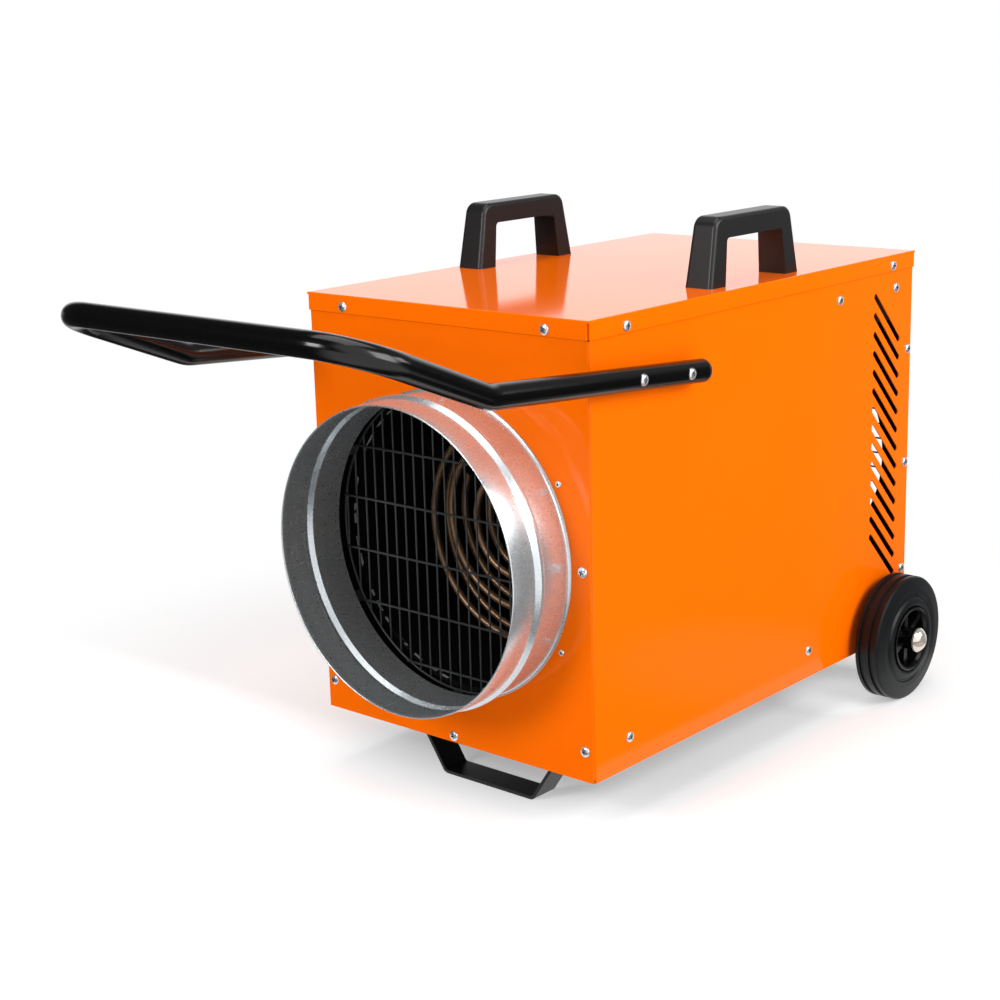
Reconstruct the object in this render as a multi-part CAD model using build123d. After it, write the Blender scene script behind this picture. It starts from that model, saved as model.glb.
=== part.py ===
from build123d import *
from math import asin, cos, pi, sin, sqrt
import os

# Wheeled forced air heater with a duct spigot on its front.
# All sizes are millimetres. Every piece is drawn from the casing datum: the middle of the casing's
# lower front edge, with +X to the right seen from the front, +Y towards the back and +Z up.
# The finished pieces are moved once, so that the origin is on the floor under the middle of the whole.

# ---- driving dimensions: casing ----
LID_WIDTH = 420.0
LID_DEPTH = 680.0
LID_TOP = 514.0
LID_FLANGE = 21.0
LID_OVERHANG = 2.0
SHEET = 1.5
BEND = 2.5
GROUND_CLEARANCE = 69.5
HALF_WIDTH = LID_WIDTH / 2 - LID_OVERHANG
FRONT = LID_OVERHANG
BACK = LID_DEPTH - LID_OVERHANG
PANEL_TOP = LID_TOP - SHEET
FLOOR_PAN = 26.0
PAN_FLANGE = 45.0
FLANGE_WIDTH = 25.0

# ---- driving dimensions: air path ----
SPIGOT_RADIUS = 178.0
SPIGOT_WALL = 0.8
SPIGOT_REACH = 91.0
AIR_AXIS = 239.0
BEAD_STATION = -48.0
BEAD_WIDTH = 12.0
BEAD_HEIGHT = 3.0
GRILLE_STATION = 18.0
WIRE = 2.4
WIRE_PITCH = 15.9
CROSS_WIRE_PITCH = 63.6
DRUM_RADIUS = 177.0
DRUM_FRONT = 30.0
SHIELD_RADIUS = 198.0
SEAM = 1.2
BULKHEAD = 300.0
FAN_RADIUS = 148.0
FAN_OPENING = 152.0
INLET_RADIUS = 171.0

ELEMENT_STATIONS = (126.0, 150.0)
ELEMENT_RADII = {"outer": 136.0, "middle": 107.0, "inner": 66.0}
ELEMENT_DROPS = {"outer": 11.0, "middle": 1.0, "inner": 3.0}  # loop centre below the air axis
ELEMENT_LEADS = {"outer": 32.0, "middle": 10.0, "inner": -12.0}
ELEMENT_TUBE = 4.25
ELEMENT_BEND = 13.0
ELEMENT_END = 36.0
ELEMENT_TOP = 206.0
COLLAR_RADIUS = 7.0
COLLAR_NUT = 10.0
SHAFT_RADIUS = 7.0
MOTOR_RADIUS = 62.0
MOTOR_FRONT = 376.0
MOTOR_LENGTH = 120.0

# ---- driving dimensions: running gear and handles ----
WHEEL_RADIUS = 82.4
WHEEL_WIDTH = 40.0
WHEEL_GAP = 6.5
WHEEL_STATION = 616.0
BOSS_END = 264.0
AXLE_RADIUS = 10.0
AXLE_HEIGHT = WHEEL_RADIUS - GROUND_CLEARANCE
CAP_RADIUS = 16.0
TUBE_RADIUS = 13.45
TUBE_WALL = 2.0
ARM_OFFSET = 224.0
ARM_END = (180.0, 435.8)
ARM_KNEE = (-174.3, 464.7)
ARM_CORNER = (-351.6, 536.9)
KNEE_BEND = 50.0
CORNER_BEND = 61.5
ARM_CAP = 10.0
ARM_BOLTS = (60.0, 147.0)
BOLT_RADIUS = 4.0
BOLT_HEAD = 5.8
GRIP_OFFSETS = {"right": 169.5, "left": -180.0}
GRIP_MIDDLE = 344.0
GRIP_FOOT = (38.0, 184.0)
GRIP_TOP = (32.4, 153.6)
GRIP_HEIGHT = 80.0
GRIP_OPENING = 55.0
GRIP_LEG = 29.0
GRIP_EDGE = 5.0
GRIP_SCREW = 3.0
FOOT_MIDDLE = 7.0
FOOT_STATION = 51.0
FOOT_WIDTH = 37.0
FOOT_THICKNESS = 4.0
FOOT_FLAT = 70.0
FOOT_SPLAY = 61.0
FOOT_FLANGE = 34.0
FOOT_BOLT = 148.0

# ---- driving dimensions: side slots and screws ----
SLOT_COUNT = 14
SLOT_PITCH = 24.2
SLOT_LENGTH = 93.0
SLOT_WIDTH = 8.0
SLOT_ANGLE = -46.0
SLOT_MIDDLE = (616.0, 277.0)
SCREW_HEAD = 5.2
SCREW_HEIGHT = 3.0
RIVET_HEAD = 3.7

# ---- driving dimensions: controls on the back ----
CONTROL_HEIGHT = 458.0
THERMOSTAT = -110.0
SELECTOR = -25.0
LAMPS = (50.0, 78.0)
RESET = 130.0
SPINDLE = 3.0
RUNNING = 0.06
KNOB_RADIUS = 20.0
KNOB_HEIGHT = 19.0
KNOB_GAP = 1.0
BUTTON_RADIUS = 4.0
BUTTON_TRAVEL = 3.0
SOCKET_PLACE = (-158.0, 58.0)
SOCKET_RADIUS = 30.0
SOCKET_BORE = 26.5
SOCKET_REACH = 44.0
SOCKET_LID = 4.0
SOCKET_HINGE = (BACK + 40.0, 96.0)
TRAY = 430.0

# ---- the whole object's reach, which places the origin ----
PUSH_REACH = -ARM_CORNER[0] + TUBE_RADIUS
BACK_REACH = BACK + SOCKET_REACH + SOCKET_LID
DATUM_TO_ORIGIN = (0, (PUSH_REACH - BACK_REACH) / 2, GROUND_CLEARANCE)


def slab(x0, x1, y0, y1, z0, z1):
    """Rectangular block between limits."""
    middle = ((x0 + x1) / 2, (y0 + y1) / 2, (z0 + z1) / 2)
    return Pos(*middle) * Box(x1 - x0, y1 - y0, z1 - z0)


def rod(axis, radius, start, end, centre=(0, 0)):
    """Cylinder along X, Y or Z between two stations; centre holds the other two coordinates in order."""
    u, v = centre
    middle = (start + end) / 2
    place = {"X": (middle, u, v), "Y": (u, middle, v), "Z": (u, v, middle)}[axis]
    turn = {"X": (0, 90, 0), "Y": (90, 0, 0), "Z": (0, 0, 0)}[axis]
    return Pos(*place) * Rot(*turn) * Cylinder(radius, abs(end - start))


def tube(axis, outer, inner, start, end, centre=(0, 0)):
    """Round tube along a main axis."""
    return rod(axis, outer, start, end, centre) - rod(axis, inner, start - 1, end + 1, centre)


def turned_about_y(section, x=0.0, z=AIR_AXIS):
    """Ring from a section drawn as (radius, station along Y)."""
    return Pos(x, 0, z) * revolve(section, Axis.Y, 360)


def turned_about_x(section, y, z):
    """Ring from a section drawn as (station along X, radius)."""
    return Pos(0, y, z) * revolve(section, Axis.X, 360)


def outline(*points):
    """Flat face inside a closed run of straight lines."""
    return make_face(Polyline(*points, close=True))


def dome(base, radius, apex):
    """Arc of a sphere centred on the turning axis, as (station, radius), from a base circle to its apex."""
    height = apex - base
    sphere = (radius**2 + height**2) / (2 * height)
    half = asin(radius / sphere) / 2
    return [(base, radius), (apex - sphere * (1 - cos(half)), sphere * sin(half)), (apex, 0)]


def folded(points, side, thickness=SHEET, bend=BEND):
    """Section of a folded strip of sheet: its outer line with bends, thickened to one side."""
    line = FilletPolyline(*points, radius=bend)
    return make_face(offset(line, amount=thickness, side=side).edges())


def mirrored(piece):
    """The same piece on the left side."""
    return mirror(piece, about=Plane.YZ)


def both_sides(pieces):
    """Pieces on the right, with their twins on the left."""
    return pieces + [mirrored(piece) for piece in pieces]


def separate(pieces):
    """Identical pieces kept as separate solids in one group."""
    return Compound(children=list(pieces))


def screw_heads(axis, sign, seat, places):
    """Pan heads seated on one face: seat is its station, places the other two coordinates."""
    end = seat + sign * SCREW_HEIGHT
    return [rod(axis, SCREW_HEAD, min(seat, end), max(seat, end), place) for place in places]


# ---------------------------------------------------------------- casing
def front_panel():
    """Flat front sheet over the side panels' flanges, with the spigot's round opening."""
    edge = HALF_WIDTH - SEAM
    sheet = slab(-edge, edge, FRONT, FRONT + SHEET, 0, PANEL_TOP)
    return sheet - rod("Y", SPIGOT_RADIUS + 0.3, FRONT - 1, FRONT + 5, (0, AIR_AXIS))


def side_slots():
    """Column of slanted air slots, drawn across the right-hand panel."""
    face = Plane(origin=(HALF_WIDTH - 3, *SLOT_MIDDLE), x_dir=(0, 1, 0), z_dir=(1, 0, 0))
    slots = Sketch() + [
        place * Rot(0, 0, SLOT_ANGLE) * SlotOverall(SLOT_LENGTH, SLOT_WIDTH)
        for place in GridLocations(0, SLOT_PITCH, 1, SLOT_COUNT)
    ]
    return extrude(face * slots, amount=6)


def side_panel():
    """Right-hand side sheet, bent inwards behind the front panel, with air slots and axle hole."""
    front = FRONT + SHEET
    plan = folded(
        [(HALF_WIDTH - FLANGE_WIDTH, front), (HALF_WIDTH, front), (HALF_WIDTH, BACK - 0.5)],
        Side.LEFT,
    )
    sheet = extrude(plan, amount=PANEL_TOP)
    axle_hole = rod("X", AXLE_RADIUS + 0.5, HALF_WIDTH - 4, HALF_WIDTH + 2, (WHEEL_STATION, AXLE_HEIGHT))
    relief = slab(HALF_WIDTH - BEND, HALF_WIDTH + 1, front - 1, front + SEAM, -1, 2 * BEND)
    return sheet - side_slots() - axle_hole - relief


def rear_panel():
    """Rear sheet with side flanges, the round air inlet and the openings for the controls."""
    edge = HALF_WIDTH - SHEET
    start = BACK - FLANGE_WIDTH
    plan = folded([(-edge, start), (-edge, BACK), (edge, BACK), (edge, start)], Side.RIGHT)
    sheet = extrude(plan, amount=PANEL_TOP)
    through = (BACK - 3, BACK + 1)
    sheet -= rod("Y", INLET_RADIUS, *through, (0, AIR_AXIS))
    for x, z, radius in control_holes():
        sheet -= rod("Y", radius, *through, (x, z))
    return sheet - rod("Y", SOCKET_RADIUS - 3, *through, SOCKET_PLACE)


def base_pan():
    """Floor pan: skirts down at front and back, flanges up at the sides."""
    front = FRONT + SHEET
    back = BACK - SHEET
    edge = HALF_WIDTH - SHEET
    top = FLOOR_PAN + SHEET
    inner = edge - FLANGE_WIDTH - 1
    length = folded([(front, 0.5), (front, top), (back, top), (back, 0.5)], Side.RIGHT)
    width = folded([(-edge, PAN_FLANGE), (-edge, FLOOR_PAN), (edge, FLOOR_PAN), (edge, PAN_FLANGE)], Side.LEFT)
    long_way = extrude(Plane(origin=(-inner, 0, 0), x_dir=(0, 1, 0), z_dir=(1, 0, 0)) * length, amount=2 * inner)
    wide_way = extrude(Plane(origin=(0, 645, 0), x_dir=(1, 0, 0), z_dir=(0, -1, 0)) * width, amount=615)
    pan = long_way + wide_way
    for x, y in foot_bolt_places():
        pan -= rod("Z", BOLT_RADIUS + 0.3, FLOOR_PAN - 1, top + 1, (x, y))
    return pan


def top_cover():
    """Lid with a flange all round and a small notch at each corner."""
    edge = LID_WIDTH / 2
    low = LID_TOP - LID_FLANGE
    shell = slab(-edge, edge, 0, LID_DEPTH, low, LID_TOP)
    shell = fillet(shell.edges().group_by(Axis.Z)[-1], 1.6)
    shell -= slab(-edge + SHEET, edge - SHEET, SHEET, LID_DEPTH - SHEET, low - 1, PANEL_TOP)
    notch = 2.4
    for x in (-edge, edge):
        for y in (0, LID_DEPTH):
            shell -= slab(x - notch, x + notch, y - notch, y + notch, low - 1, LID_TOP - 2.5)
    return shell


# ---------------------------------------------------------------- air outlet
def duct_spigot():
    """Galvanised duct collar: plain tube with a swaged bead, hemmed rim and narrow base flange."""
    outer = SPIGOT_RADIUS
    inner = outer - SPIGOT_WALL
    half = BEAD_WIDTH / 2
    crown = outer + BEAD_HEIGHT
    rim = -SPIGOT_REACH
    tail = FRONT + SHEET
    path = [
        Line((outer, rim), (outer, BEAD_STATION - half)),
        ThreePointArc((outer, BEAD_STATION - half), (crown, BEAD_STATION), (outer, BEAD_STATION + half)),
        Line((outer, BEAD_STATION + half), (outer, 0.9)),
        Polyline((outer, 0.9), (outer + 3, 0.9), (outer + 3, 1.9), (outer, 1.9), (outer, tail), (inner, tail)),
        Line((inner, tail), (inner, BEAD_STATION + half)),
        ThreePointArc(
            (inner, BEAD_STATION + half), (crown - SPIGOT_WALL, BEAD_STATION), (inner, BEAD_STATION - half)
        ),
        Polyline((inner, BEAD_STATION - half), (inner, rim + 7), (outer - 1.9, rim + 6), (outer - 1.9, rim)),
        Line((outer - 1.9, rim), (outer, rim)),
    ]
    collar = turned_about_y(make_face(path))
    return collar + lap_seam()


def lap_seam():
    """Overlap of the rolled sheet, a shallow step along the inside at the bottom."""
    inner = SPIGOT_RADIUS - SPIGOT_WALL
    strip = outline((inner - 0.7, -80), (inner + 0.2, -80), (inner + 0.2, 3), (inner - 0.7, 3))
    arc = revolve(strip, Axis.Y, 5)
    return Pos(0, 0, AIR_AXIS) * Rot(0, 92, 0) * arc


def outlet_grille():
    """Welded wire grille behind the outlet: upright wires, cross wires, a rim and six mounting tabs."""
    face = Plane(origin=(0, GRILLE_STATION, AIR_AXIS), x_dir=(1, 0, 0), z_dir=(0, -1, 0))
    rim = DRUM_RADIUS + 4
    mesh = extrude(face * wire_mesh(rim, WIRE_PITCH, CROSS_WIRE_PITCH, 11, 3, 0.5), amount=WIRE)
    tab = slab(rim - 2, 195, FRONT + SHEET, FRONT + SHEET + 2, -7, 7)
    tab += slab(rim - 2, rim, FRONT + SHEET, GRILLE_STATION, -7, 7)
    tabs = [Pos(0, 0, AIR_AXIS) * Rot(0, 30 + 60 * i, 0) * tab for i in range(6)]
    return mesh + tabs


# ---------------------------------------------------------------- heating section
def heat_drum():
    """Round heat shield: sleeve behind the front panel, ring step, then the drum back to the bulkhead."""
    outer = DRUM_RADIUS + 1
    sleeve_front = FRONT + SHEET + 1.7
    section = outline(
        (SHIELD_RADIUS - 1, sleeve_front),
        (SHIELD_RADIUS, sleeve_front),
        (SHIELD_RADIUS, DRUM_FRONT),
        (outer, DRUM_FRONT),
        (outer, BULKHEAD - 1),
        (outer + 9, BULKHEAD - 1),
        (outer + 9, BULKHEAD),
        (DRUM_RADIUS, BULKHEAD),
        (DRUM_RADIUS, DRUM_FRONT - 1),
        (SHIELD_RADIUS - 1, DRUM_FRONT - 1),
    )
    drum = turned_about_y(section)
    for x, y in element_ends():
        drum -= rod("Z", COLLAR_RADIUS + 0.3, AIR_AXIS + 150, AIR_AXIS + 190, (x, y))
    return drum


def element_ends():
    """Places (x, y) where the heating elements' ends come up through the drum."""
    return [(x, y) for x in ELEMENT_LEADS.values() for y in ELEMENT_STATIONS]


def heating_element(name):
    """One sheathed element: down, round a front loop, through a hairpin, round a back loop and up.

    Its tube is drawn six-sided to keep the long loops light.
    """
    loop = ELEMENT_RADII[name]
    lead = ELEMENT_LEADS[name]
    centre = AIR_AXIS - ELEMENT_DROPS[name]
    end = AIR_AXIS + ELEMENT_TOP
    front, back = ELEMENT_STATIONS
    bend_x = lead + ELEMENT_BEND
    bend_z = sqrt((loop + ELEMENT_BEND) ** 2 - bend_x**2)
    start = asin(bend_x / (loop + ELEMENT_BEND))
    stop = 2 * pi - asin(ELEMENT_END / loop)

    def on_loop(angle):
        return (loop * sin(angle), loop * cos(angle))

    half_bend = pi + (pi / 2 - start) / 2
    in_bend = (bend_x + ELEMENT_BEND * cos(half_bend), bend_z + ELEMENT_BEND * sin(half_bend))
    turns = (
        Curve()
        + Line((lead, end - centre), (lead, bend_z))
        + ThreePointArc((lead, bend_z), in_bend, on_loop(start))
        + ThreePointArc(on_loop(start), on_loop((start + stop) / 2), on_loop(stop))
    )
    runs = [
        Plane(origin=(0, station, centre), x_dir=(1, 0, 0), z_dir=(0, -1, 0)) * turns
        for station in ELEMENT_STATIONS
    ]
    x, z = on_loop(stop)
    reach = (back - front) / 2
    hairpin = ThreePointArc(
        (x, front, z + centre),
        (x + reach * cos(stop), front + reach, z - reach * sin(stop) + centre),
        (x, back, z + centre),
    )
    route = Wire(runs[0].edges() + hairpin.edges() + runs[1].edges())
    cut = Plane(origin=(lead, front, end), z_dir=(0, 0, -1))
    return sweep(cut * RegularPolygon(ELEMENT_TUBE, 6), path=route)


def element_collars():
    """Threaded collars that hold the element ends in the drum, each with a nut on top."""
    top = AIR_AXIS + DRUM_RADIUS
    inner = ELEMENT_TUBE + 0.1
    collars = []
    for place in element_ends():
        collar = rod("Z", COLLAR_RADIUS, top - 8, top + 12, place)
        collar += Pos(*place, top + 2.5) * extrude(RegularPolygon(COLLAR_NUT, 6), amount=5)
        collars.append(collar - rod("Z", inner, top - 9, top + 13, place))
    return separate(collars)


def element_terminals():
    """Ceramic insulator on each element end."""
    low = AIR_AXIS + ELEMENT_TOP
    return separate([rod("Z", 6, low, low + 12, place) for place in element_ends()])


def element_brackets():
    """Three strips that carry the loops off the drum wall."""
    front, back = ELEMENT_STATIONS
    gap = ELEMENT_TUBE + 0.3
    limits = (front + gap, back - gap)
    wall = DRUM_RADIUS - 0.3
    strip = slab(60, wall, *limits, -1, 1) + slab(wall - 2, wall - 0.6, *limits, -1, 18)
    return separate([Pos(0, 0, AIR_AXIS) * Rot(0, angle, 0) * strip for angle in (-30, 90, 210)])


def fan_bulkhead():
    """Plate across the casing with flanged sides and a round collar for the fan."""
    edge = HALF_WIDTH - 2 * SHEET
    plan = folded([(-edge, BULKHEAD + 18), (-edge, BULKHEAD), (edge, BULKHEAD), (edge, BULKHEAD + 18)], Side.LEFT)
    low = FLOOR_PAN + SHEET + BEND
    plate = Pos(0, 0, low) * extrude(plan, amount=PANEL_TOP - 3 - low)
    plate -= rod("Y", FAN_OPENING, BULKHEAD - 1, BULKHEAD + 5, (0, AIR_AXIS))
    return plate + tube("Y", FAN_OPENING + SHEET, FAN_OPENING, BULKHEAD, BULKHEAD + 45, (0, AIR_AXIS))


def motor_mount():
    """Four folded legs from the bulkhead to a ring that carries the motor behind the fan."""
    foot = BULKHEAD + SHEET + 2.5
    section = folded([(40, MOTOR_FRONT), (174, MOTOR_FRONT), (174, foot), (192, foot)], Side.RIGHT, 2.5, 5)
    leg = extrude(section, amount=24)
    ring = tube("Y", MOTOR_RADIUS, SHAFT_RADIUS + 8, MOTOR_FRONT - 2.5, MOTOR_FRONT, (0, AIR_AXIS))
    legs = [Pos(0, 0, AIR_AXIS) * Rot(0, 45 + 90 * i, 0) * Pos(0, 0, -12) * leg for i in range(4)]
    return ring + legs


def fan_motor():
    """Motor with ribbed barrel, end bells, a blind bore for its shaft and a terminal box on top."""
    end = MOTOR_FRONT + MOTOR_LENGTH
    bore = SHAFT_RADIUS + RUNNING
    section = outline(
        (bore, MOTOR_FRONT),
        (MOTOR_RADIUS - 8, MOTOR_FRONT),
        (MOTOR_RADIUS, MOTOR_FRONT + 10),
        (MOTOR_RADIUS, end - 14),
        (MOTOR_RADIUS - 12, end),
        (0, end),
        (0, MOTOR_FRONT + 30),
        (bore, MOTOR_FRONT + 30),
    )
    box = slab(-24, 24, MOTOR_FRONT + 30, MOTOR_FRONT + 84, AIR_AXIS + MOTOR_RADIUS - 8, AIR_AXIS + 86)
    return turned_about_y(section) + box


def motor_shaft():
    """Shaft from the motor through the fan hub."""
    return rod("Y", SHAFT_RADIUS, BULKHEAD + 10, MOTOR_FRONT + 29, (0, AIR_AXIS))


def fan_impeller():
    """Axial fan: domed hub with seven twisted blades."""
    hub_front = BULKHEAD + 12
    hub_back = BULKHEAD + 48
    section = make_face(
        [
            Line((SHAFT_RADIUS + 0.02, hub_front), (20, hub_front)),
            ThreePointArc((20, hub_front), (31, hub_front + 5), (36, hub_front + 16)),
            Line((36, hub_front + 16), (36, hub_back)),
            Line((36, hub_back), (SHAFT_RADIUS + 0.02, hub_back)),
            Line((SHAFT_RADIUS + 0.02, hub_back), (SHAFT_RADIUS + 0.02, hub_front)),
        ]
    )
    middle = (hub_front + hub_back) / 2 + 4
    root = Plane(origin=(30, middle, 0), x_dir=(0, 1, 0), z_dir=(1, 0, 0)) * Rot(0, 0, 42) * Rectangle(34, 4)
    tip = Plane(origin=(FAN_RADIUS - 4, middle, 0), x_dir=(0, 1, 0), z_dir=(1, 0, 0)) * Rot(0, 0, 66) * Rectangle(66, 2.5)
    blade = loft([root, tip])
    blades = [Pos(0, 0, AIR_AXIS) * Rot(0, 360 / 7 * i, 0) * blade for i in range(7)]
    return turned_about_y(section) + blades


# ---------------------------------------------------------------- air inlet
def inlet_guard():
    """Flat wire guard over the round air inlet at the back."""
    rim = INLET_RADIUS + 10
    start = BACK + 3
    face = Plane(origin=(0, start, AIR_AXIS), x_dir=(-1, 0, 0), z_dir=(0, 1, 0))
    mesh = extrude(face * wire_mesh(rim, 50.0, 20.0, 3, 8), amount=WIRE)
    foot = slab(rim - 1, rim + 12, BACK, BACK + 1.5, -7, 7) + slab(rim - 2, rim, BACK, start + WIRE, -7, 7)
    feet = [Pos(0, 0, AIR_AXIS) * Rot(0, 45 + 90 * i, 0) * foot for i in range(4)]
    return mesh + feet


def wire_mesh(rim, upright_pitch, cross_pitch, uprights, crosses, cross_shift=0.0):
    """Flat outline of a round welded mesh: rim, upright wires and cross wires."""
    ring = 2 * WIRE if upright_pitch > 20 else 1.2 * WIRE
    reach = 2 * rim - 3
    bars = Sketch() + [
        Pos(i * upright_pitch, 0) * Rectangle(WIRE, reach) for i in range(-uprights, uprights + 1)
    ]
    rows = [(i + cross_shift) * cross_pitch for i in range(-crosses, crosses + 1)]
    bars += [Pos(0, row) * Rectangle(reach, WIRE) for row in rows if abs(row) < rim - ring]
    return (Circle(rim) - Circle(rim - ring)) + (bars & Circle(rim - ring / 2))


# ---------------------------------------------------------------- electrics
def electrics_tray():
    """Shelf in the top of the casing behind the fan."""
    edge = HALF_WIDTH - SHEET
    section = folded([(-edge, TRAY + 55), (-edge, TRAY), (edge, TRAY), (edge, TRAY + 55)], Side.LEFT)
    return extrude(Plane(origin=(0, 648, 0), x_dir=(1, 0, 0), z_dir=(0, -1, 0)) * section, amount=208)


def contactors():
    """Two contactors side by side on the tray."""
    low = TRAY + SHEET
    body = slab(-22, 22, 520, 596, low, low + 52) + slab(-22, 22, 538, 578, low + 52, low + 74)
    return separate([Pos(x, 0, 0) * body for x in (-140, -90)])


def terminal_block():
    """Row of five terminals for the supply, with walls between them."""
    low = TRAY + SHEET
    block = slab(-40, 60, 545, 585, low, low + 32)
    for i in range(5):
        x = -30 + 20 * i
        block -= slab(x - 7, x + 7, 540, 556, low + 12, low + 40)
        block -= slab(x - 7, x + 7, 574, 590, low + 12, low + 40)
    return block


def control_holes():
    """Round openings (x, z, radius) in the rear panel for spindles, lamps and reset button."""
    spindles = [(x, CONTROL_HEIGHT, 5.6) for x in (THERMOSTAT, SELECTOR)]
    lamps = [(x, CONTROL_HEIGHT, 6.1) for x in LAMPS]
    return spindles + lamps + [(RESET, CONTROL_HEIGHT, 8.2)]


def control_body(x, width, depth):
    """Housing behind the rear panel with a threaded neck and a blind bore for its spindle."""
    inside = BACK - SHEET
    half = width / 2
    body = slab(x - half, x + half, inside - depth, inside, CONTROL_HEIGHT - half, CONTROL_HEIGHT + half)
    body += rod("Y", 5.4, inside - 1, BACK + 0.5, (x, CONTROL_HEIGHT))
    return body - rod("Y", SPINDLE + RUNNING, inside - 15, BACK + 2, (x, CONTROL_HEIGHT))


def control_spindle(x):
    """Steel spindle from the housing into the knob."""
    return rod("Y", SPINDLE, BACK - SHEET - 14, BACK + KNOB_GAP + 14, (x, CONTROL_HEIGHT))


def knob_blank(x):
    """Round knob body with a sloping skirt and a blind bore for the spindle."""
    low = BACK + KNOB_GAP
    high = low + KNOB_HEIGHT
    bore = SPINDLE + 0.02
    section = outline(
        (bore, low), (KNOB_RADIUS, low), (KNOB_RADIUS, low + 4), (KNOB_RADIUS - 4, low + 6),
        (KNOB_RADIUS - 5, high), (0, high), (0, low + 14.1), (bore, low + 14.1),
    )
    return turned_about_y(section, x, CONTROL_HEIGHT)


def thermostat_knob():
    """Knob with grip flutes all round and a pointer groove."""
    knob = knob_blank(THERMOSTAT)
    top = BACK + KNOB_GAP + KNOB_HEIGHT
    for i in range(12):
        angle = 2 * pi * (i + 0.5) / 12
        place = (THERMOSTAT + 17.5 * sin(angle), CONTROL_HEIGHT + 17.5 * cos(angle))
        knob -= rod("Y", 3, top - 12, top + 1, place)
    return knob - slab(THERMOSTAT - 0.8, THERMOSTAT + 0.8, top - 1, top + 1, CONTROL_HEIGHT + 3, CONTROL_HEIGHT + 20)


def selector_knob():
    """Knob with a flat pointer bar left between two cut-away sides."""
    knob = knob_blank(SELECTOR)
    top = BACK + KNOB_GAP + KNOB_HEIGHT
    for side in (-1, 1):
        near = SELECTOR + side * 5
        far = SELECTOR + side * (KNOB_RADIUS + 1)
        knob -= slab(min(near, far), max(near, far), top - 11, top + 1, CONTROL_HEIGHT - 21, CONTROL_HEIGHT + 21)
    return knob - slab(SELECTOR - 0.8, SELECTOR + 0.8, top - 1, top + 1, CONTROL_HEIGHT + 3, CONTROL_HEIGHT + 20)


def pilot_lamps():
    """Two round lamps in the rear panel, each lens with a sloping edge."""
    section = outline(
        (0, BACK - 12), (5.9, BACK - 12), (5.9, BACK), (7.5, BACK), (7.5, BACK + 2), (5, BACK + 5), (0, BACK + 6)
    )
    return separate([turned_about_y(section, x, CONTROL_HEIGHT) for x in LAMPS])


def limit_thermostat():
    """Overheat cut-out behind the panel, with the collar that guides its reset button."""
    inside = BACK - SHEET
    place = (RESET, CONTROL_HEIGHT)
    body = slab(RESET - 15, RESET + 15, inside - 26, inside, CONTROL_HEIGHT - 15, CONTROL_HEIGHT + 15)
    body += rod("Y", 8, inside - 1, BACK, place) + rod("Y", 10.5, BACK, BACK + 3, place)
    return body - rod("Y", BUTTON_RADIUS + RUNNING, inside - 16, BACK + 4, place)


def reset_button():
    """Push button that stands proud of its collar."""
    inside = BACK - SHEET
    button = rod("Y", BUTTON_RADIUS, inside - 16 + BUTTON_TRAVEL + 1, BACK + 3 + BUTTON_TRAVEL + 1.5,
                 (RESET, CONTROL_HEIGHT))
    return chamfer(button.edges().group_by(Axis.Y)[-1], 0.8)


def power_inlet():
    """Round five-pole appliance inlet: flange, shroud, housing behind the panel and hinge lugs."""
    x, z = SOCKET_PLACE
    hinge_y, hinge_z = SOCKET_HINGE
    face = Plane(origin=(x, BACK + 4, z), x_dir=(1, 0, 0), z_dir=(0, -1, 0))
    body = extrude(face * RectangleRounded(72, 72, 6), amount=4)
    body += rod("Y", SOCKET_RADIUS, BACK + 3, BACK + SOCKET_REACH, SOCKET_PLACE)
    body -= rod("Y", SOCKET_BORE, BACK + 12, BACK + SOCKET_REACH + 1, SOCKET_PLACE)
    body += rod("Y", SOCKET_BORE, BACK - 38, BACK + 4, SOCKET_PLACE)
    for side in (-1, 1):
        inner = x + side * 8
        outer = x + side * 12
        lug = slab(min(inner, outer), max(inner, outer), hinge_y - 5, hinge_y + 4, z + 26, hinge_z)
        lug -= rod("Y", SOCKET_BORE, BACK + 12, BACK + SOCKET_REACH + 1, SOCKET_PLACE)
        lug += rod("X", 4, min(inner, outer), max(inner, outer), (hinge_y, hinge_z))
        body += lug
    return body - rod("X", 2.01, x - 13, x + 13, (hinge_y, hinge_z))


def inlet_pins():
    """Five contact pins standing in the inlet's shroud."""
    x, z = SOCKET_PLACE
    pins = []
    for i in range(5):
        angle = 2 * pi * i / 5
        radius = 4 if i == 0 else 3.5
        place = (x + 16 * sin(angle), z - 16 * cos(angle))
        pins.append(rod("Y", radius, BACK + 12, BACK + 36, place))
    return separate(pins)


def inlet_cover():
    """Sprung lid over the inlet, hung on a knuckle between the lugs."""
    x, z = SOCKET_PLACE
    hinge_y, hinge_z = SOCKET_HINGE
    low = BACK + SOCKET_REACH
    lid = rod("Y", SOCKET_RADIUS + 2, low, low + SOCKET_LID, SOCKET_PLACE)
    lid += slab(x - 7.7, x + 7.7, low, low + SOCKET_LID, z + 20, hinge_z + 2)
    lid += slab(x - 7.7, x + 7.7, hinge_y, low + SOCKET_LID, hinge_z - 2, hinge_z + 2)
    lid += rod("X", 4, x - 7.7, x + 7.7, (hinge_y, hinge_z))
    return lid - rod("X", 2 + RUNNING, x - 8, x + 8, (hinge_y, hinge_z))


def inlet_hinge_pin():
    """Pin through the lugs and the lid's knuckle."""
    x = SOCKET_PLACE[0]
    return rod("X", 2, x - 12, x + 12, SOCKET_HINGE)


# ---------------------------------------------------------------- handles
def arm_height(y):
    """Height of the push handle's arm centreline at a station along the casing."""
    rise = (ARM_KNEE[1] - ARM_END[1]) / (ARM_END[0] - ARM_KNEE[0])
    return ARM_END[1] + (ARM_END[0] - y) * rise


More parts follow.
